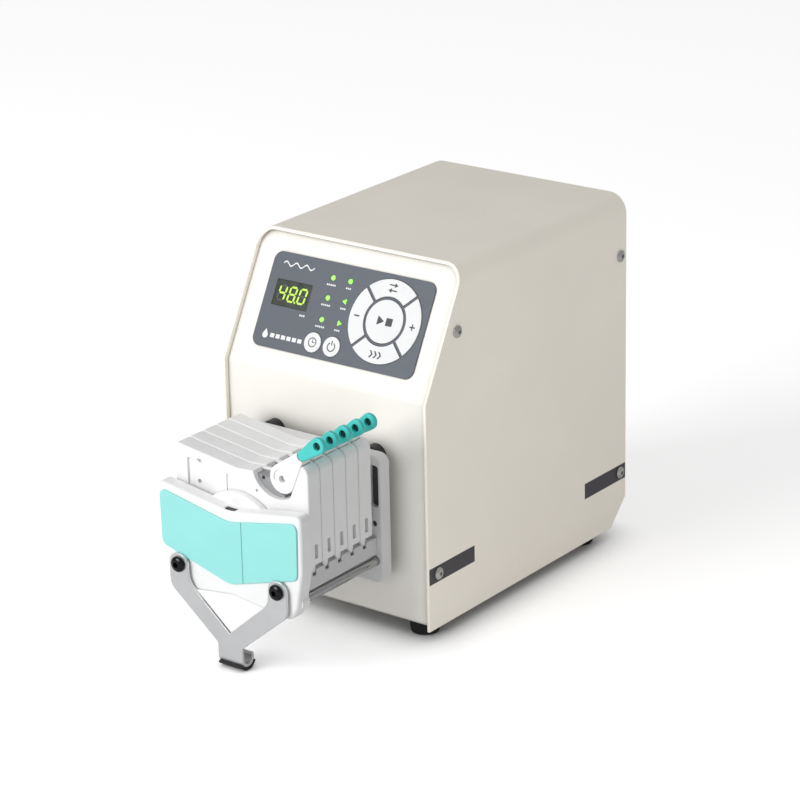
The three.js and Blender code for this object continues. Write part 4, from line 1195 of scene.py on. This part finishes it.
def cartridge_outline():
    """The side view of a bridge over the rotor."""
    track = [(p.x, p.y) for p in arc(0, 0, ARCH_RADIUS, math.pi, 0)]
    return outline([
        (-CARTRIDGE_HALF, -5, 1.5),
        (-ARCH_RADIUS, -5, 1.5),
        *track,
        (ARCH_RADIUS, -5, 1.5),
        (CARTRIDGE_HALF, -5, 1.5),
        (CARTRIDGE_HALF, 58.5, 6),
        (44, 58.5, 2),
        (38, 49, 5),
        (11, 48, 20),
        (-2, 47, 20),
        (-50.8, 54, 2.5),
    ])


def cartridge():
    """One cartridge, drawn with its front face on y = 0."""
    shape = prism("Y", cartridge_outline(), 0, CARTRIDGE_WIDTH, ease_low=1.2, ease_high=1.2)
    middle = CARTRIDGE_WIDTH / 2
    tools = [
        box(-CARTRIDGE_HALF - 1, CARTRIDGE_HALF + 1, middle - 1.5, middle + 1.5, -0.5, 8.5),
        disc(1.5, -33, 31.4, -1, 5),
        *face_recesses(),
    ]
    cut(shape, *tools)
    extras = [disc(1.8, PIVOT.x, PIVOT.y, 3, 10, ease_low=0.4)]
    for sign in (-1, 1):
        hook = link(Vector((sign * 46.5, -4)), 2.4, Vector((sign * 46.5, -9.5)), 2.4)
        extras.append(prism("Y", hook, middle - 2.5, middle + 2.5, ease_low=0.4, ease_high=0.4))
    return join(shape, *extras)


POCKET = Vector((28.4, 53.1))
POCKET_RADIUS = 19.1
POCKET_DEPTH = 9


def pocket_step():
    """A crescent-shaped step along the pocket's lower left edge, with a small hole."""
    low = arc(*POCKET, POCKET_RADIUS - 0.05, math.radians(203), math.radians(280))
    high = arc(*PIVOT, LEVER_HUB + 2.4, math.radians(266), math.radians(192))
    step = prism("Y", low + high, 3.4, POCKET_DEPTH - 0.1)
    return cut(step, disc(1.3, 15.4, 43.8, 0, POCKET_DEPTH - 1))


def pocket_outline():
    return [
        Vector((POCKET.x - POCKET_RADIUS, 75)),
        *arc(*POCKET, POCKET_RADIUS, math.radians(175), math.radians(300)),
        Vector((41.05, 43.6)),
        Vector((53.95, 75)),
    ]


def pocket_shade_plate():
    """A darker grey plate on the pocket's floor, behind the lever, and its step: painted shade inside the
    pocket.
    """
    low, high = POCKET_DEPTH - 0.4, POCKET_DEPTH - 0.02
    plate = prism("Y", shrunk(anticlockwise(pocket_outline()), 0.05), low, high)
    within = prism("Y", shrunk(anticlockwise(cartridge_outline()), 1.3), low - 1, high + 1)
    return join(common(plate, within), pocket_step())


def face_recesses():
    """The lever's pocket, and the shallow fields that leave a border and ribs on the face."""
    left = outline([(-41.3, -20), (-16.6, -20), (-16.6, 43, 1.5), (-41.3, 46, 1.5)])
    middle = outline([(-10.6, -20), (4, -20), (4, 41, 1.5), (-10.6, 42, 1.5)])
    return [
        prism("Y", pocket_outline(), -1, POCKET_DEPTH),
        prism("Y", left, -1, 1.3),
        prism("Y", middle, -1, 0.6),
        prism("Y", rectangle(-33.4, -29.6, 43.6, 46.6, 0.8), -1, 2.5),
        disc(0.9, 12.6, 36, -1, 1.2),
    ]


def grip_outline():
    """The pear-shaped side view of the pull ring, from the neck to its round end."""
    return link(NECK + (RING - NECK) * 0.16, 3.3, RING, RING_RADIUS)


def lever_arm():
    """The white arm of a lever, drawn about its pivot with its front face on y = 0."""
    arm = prism("Y", link(Vector((0, 0)), LEVER_HUB, NECK, 3.4), 0, 8, ease_low=0.7, ease_high=0.6)
    start, end = math.radians(105), math.radians(190)
    crescent = prism("Y", arc(0, 0, 6.2, start, end) + arc(0.4, -0.3, 5.2, end, start), -1, 0.5)
    return cut(arm, disc(2.2, 0, 0, -1, 9), crescent, prism("Y", grip_outline(), -1, 9))


def lever_grip():
    """The coloured pull ring on the end of the arm."""
    body = prism("Y", grip_outline(), 0, RING_DEPTH, ease_low=1, ease_high=1)
    return cut(body, disc(RING_HOLE, RING.x, RING.y, -1, RING_DEPTH + 1))


def build_channels():
    body, painted_pocket_shade, arm, grip = cartridge(), pocket_shade_plate(), lever_arm(), lever_grip()
    # A nearly black disc at the bottom of each grip's hole: painted shade, so the hole reads dark.
    floor = disc(RING_HOLE - 0.02, RING.x, RING.y, 1.9, RING_DEPTH - 0.4)
    for channel in range(1, CHANNELS + 1):
        node = f"cartridge_{channel}"
        front = span(node, HEAD)[0].y
        slide = Matrix.Translation((0, front, 0))
        install(node, moved(copy_of(body), slide), HEAD)
        # The pocket's darker grey plate is painted shade, not a part.
        channel_pocket_shade = moved(copy_of(painted_pocket_shade), slide)
        detail(f"pocket_shade_plate_{channel}", channel_pocket_shade, HEAD, node, "grey_plastic", POCKET_SHADE_GREY)
        lever = f"occlusion_lever_{channel}"
        rides_on = BODY_OF[lever]
        place = Matrix.Translation((PIVOT.x, front + 0.4, PIVOT.y))
        install(lever, moved(copy_of(grip), place), HEAD)
        detail(f"lever_arm_{channel}", moved(copy_of(arm), place), HEAD, rides_on, "white_plastic")
        # Painted shade: the dark disc deep in the grip's hole.
        disc_in_ring = moved(copy_of(floor), place)
        detail(f"ring_hole_shade_disc_{channel}", disc_in_ring, HEAD, rides_on, "teal_plastic", RING_HOLE_SHADE_TEAL)
    for shape in (body, painted_pocket_shade, arm, grip, floor):
        bpy.data.objects.remove(shape)


# ---- Pump head: support bracket -------------------------------------------------------------


def bracket_face():
    return span("support_bracket", HEAD)[0].y


def support_bracket():
    """Two arms from the cover's lower corners meet in a foot whose end curls back."""
    face, sheet, curl = bracket_face(), 2, 5.5
    top = BRACKET_SCREW["z"] + 6.8
    bottom = -SHAFT_HEIGHT - 0.5
    points = outline(mirrored([
        (0, bottom),
        (9.5, bottom),
        (9.5, -62.5, 3),
        (45.5, -33, 8),
        (45.3, top, 6.6),
        (31.4, top, 6.6),
        (31, -28, 12),
        (0, -54.4),
    ]))
    plate = prism("Y", points, face, face + sheet, ease_low=0.4, ease_high=0.4)
    centre = face + curl
    end = math.pi + 1.15 * math.pi
    hook = prism(
        "X",
        [
            *arc(centre, bottom, curl, math.pi, end),
            *arc(centre, bottom, curl - sheet, end, math.pi),
            Vector((face + sheet, bottom + 0.5)),
            Vector((face, bottom + 0.5)),
        ],
        -9.5,
        9.5,
        ease_low=0.3,
        ease_high=0.3,
    )
    through = (BRACKET_SCREW["z"], face - 1, face + 4)
    holes = [disc(2.7, sign * BRACKET_SCREW["x"], *through) for sign in (-1, 1)]
    return cut(join(plate, hook), *holes)


def bracket_pad():
    """Rubber round the underside of the curl, flat where it stands on the table."""
    centre_y, centre_z = bracket_face() + 5.5, -SHAFT_HEIGHT - 0.5
    start, end = math.pi * 1.22, math.pi * 1.86
    wrap = [*arc(centre_y, centre_z, 7.7, start, end), *arc(centre_y, centre_z, 5.7, end, start)]
    wrapped = prism("X", wrap, -9.5, 9.5, ease_low=0.4, ease_high=0.4)
    sole = span("bracket_foot_pad", HEAD)[0].z
    return common(wrapped, box(-20, 20, -130, -50, sole, 0))


def build_support():
    install("support_bracket", support_bracket(), HEAD)
    install("bracket_foot_pad", bracket_pad(), HEAD)
    screw = button_screw(5, 3, 2.3, 8, 1.9)
    for side, sign in (("left", -1), ("right", 1)):
        centre = Vector((sign * BRACKET_SCREW["x"], bracket_face() - GAP, BRACKET_SCREW["z"]))
        place = Matrix.Translation(centre) @ Matrix.Rotation(QUARTER, 4, "X")
        install(f"bracket_screw_{side}", moved(copy_of(screw), place), HEAD)
    bpy.data.objects.remove(screw)


# ---- Stage ----------------------------------------------------------------------------------

CAMERA_PLACE = (1.127878, -1.460427, 0.803926)
CAMERA_AZIMUTH = math.radians(37.33)
CAMERA_ELEVATION = math.radians(20.19)
CAMERA_ROLL = math.radians(-1.27)
CAMERA_LENS = 140.73


def make_camera():
    azimuth, elevation = CAMERA_AZIMUTH, CAMERA_ELEVATION
    back = Vector((
        math.sin(azimuth) * math.cos(elevation),
        -math.cos(azimuth) * math.cos(elevation),
        math.sin(elevation),
    ))
    right = Vector((math.cos(azimuth), math.sin(azimuth), 0))
    up = back.cross(right)
    turned_right = right * math.cos(CAMERA_ROLL) + up * math.sin(CAMERA_ROLL)
    turned_up = up * math.cos(CAMERA_ROLL) - right * math.sin(CAMERA_ROLL)
    camera = bpy.data.objects.new("camera", bpy.data.cameras.new("camera"))
    camera.data.lens = CAMERA_LENS
    camera.data.sensor_width = 36
    axes = Matrix((turned_right, turned_up, back)).transposed().to_4x4()
    camera.matrix_world = Matrix.Translation(CAMERA_PLACE) @ axes
    bpy.context.scene.collection.objects.link(camera)
    bpy.context.scene.camera = camera


def area_light(name, place, target, size, power, colour=(1, 1, 1)):
    light = bpy.data.objects.new(name, bpy.data.lights.new(name, "AREA"))
    light.data.shape = "DISK"
    light.data.size = size
    light.data.energy = power
    light.data.color = colour
    light.location = place
    light.rotation_mode = "QUATERNION"
    light.rotation_quaternion = (Vector(target) - Vector(place)).to_track_quat("-Z", "Y")
    bpy.context.scene.collection.objects.link(light)
    return light


FLOOR_GLOW = 0.48
FLOOR_SHADE = 30


def make_floor():
    """A pale floor that can be seen through from below, with a painted contact shadow near the object."""
    half = 6
    corners = [(-half, -half, 0), (half, -half, 0), (half, half, 0), (-half, half, 0)]
    floor = solid(corners, [(0, 1, 2, 3)])
    floor.name = "floor"
    look = Look("floor", (0.9, 0.9, 0.9), 0.9).mottle(0.004, 400)
    look.set("Specular IOR Level", 0.1)
    clear = look.add("ShaderNodeBsdfTransparent")
    facing = look.add("ShaderNodeNewGeometry")
    mix = look.add("ShaderNodeMixShader", {0: facing.outputs["Backfacing"]})
    path = look.add("ShaderNodeLightPath")
    # The floor's glow for the camera fades where the object is near: painted contact shadow.
    open_air = look.add("ShaderNodeAmbientOcclusion", {"Distance": FLOOR_SHADE * MM}, samples=8)
    level = look.ranged(open_air.outputs["AO"], 0, FLOOR_GLOW, 0.25, 0.95)
    glow = look.add("ShaderNodeMath", {0: path.outputs["Is Camera Ray"], 1: level}, operation="MULTIPLY")
    look.set("Emission Color", (1, 1, 1, 1))
    look.set("Emission Strength", glow.outputs[0])
    look.connect(mix, 1, look.shader.outputs[0])
    look.connect(mix, 2, clear.outputs[0])
    look.connect(look.nodes["Material Output"], "Surface", mix.outputs[0])
    floor.data.materials.append(look.material)
    floor.location.z = -0.0002


def make_light():
    world = bpy.data.worlds.new("studio")
    world.use_nodes = True
    world.node_tree.nodes["Background"].inputs["Color"].default_value = (1, 1, 1, 1)
    world.node_tree.nodes["Background"].inputs["Strength"].default_value = 0.43
    bpy.context.scene.world = world
    bpy.context.scene.view_settings.view_transform = "Standard"
    middle = (0, 0, 0.1)
    area_light("key", (-0.75, -2.0, 1.2), middle, 1.5, 36)
    fill = area_light("housing_fill", (1.75, -1.5, 0.45), middle, 1.6, 19)
    housing = bpy.data.collections.new("housing")
    for name in ("top_cover", "chassis", "keypad_overlay"):
        housing.objects.link(bpy.data.objects[f"{name}_visual"])
    fill.light_linking.receiver_collection = housing


# ---- Build ----------------------------------------------------------------------------------

for cad_node, cad_object in frame["nodes"].items():
    dress(cad_object, LOOKS[SLOT_OF[cad_node]], 20)

build_housing()
build_rear()
build_keypad()
build_frame()
build_rotor()
build_channels()
build_support()
make_floor()
make_light()
make_camera()
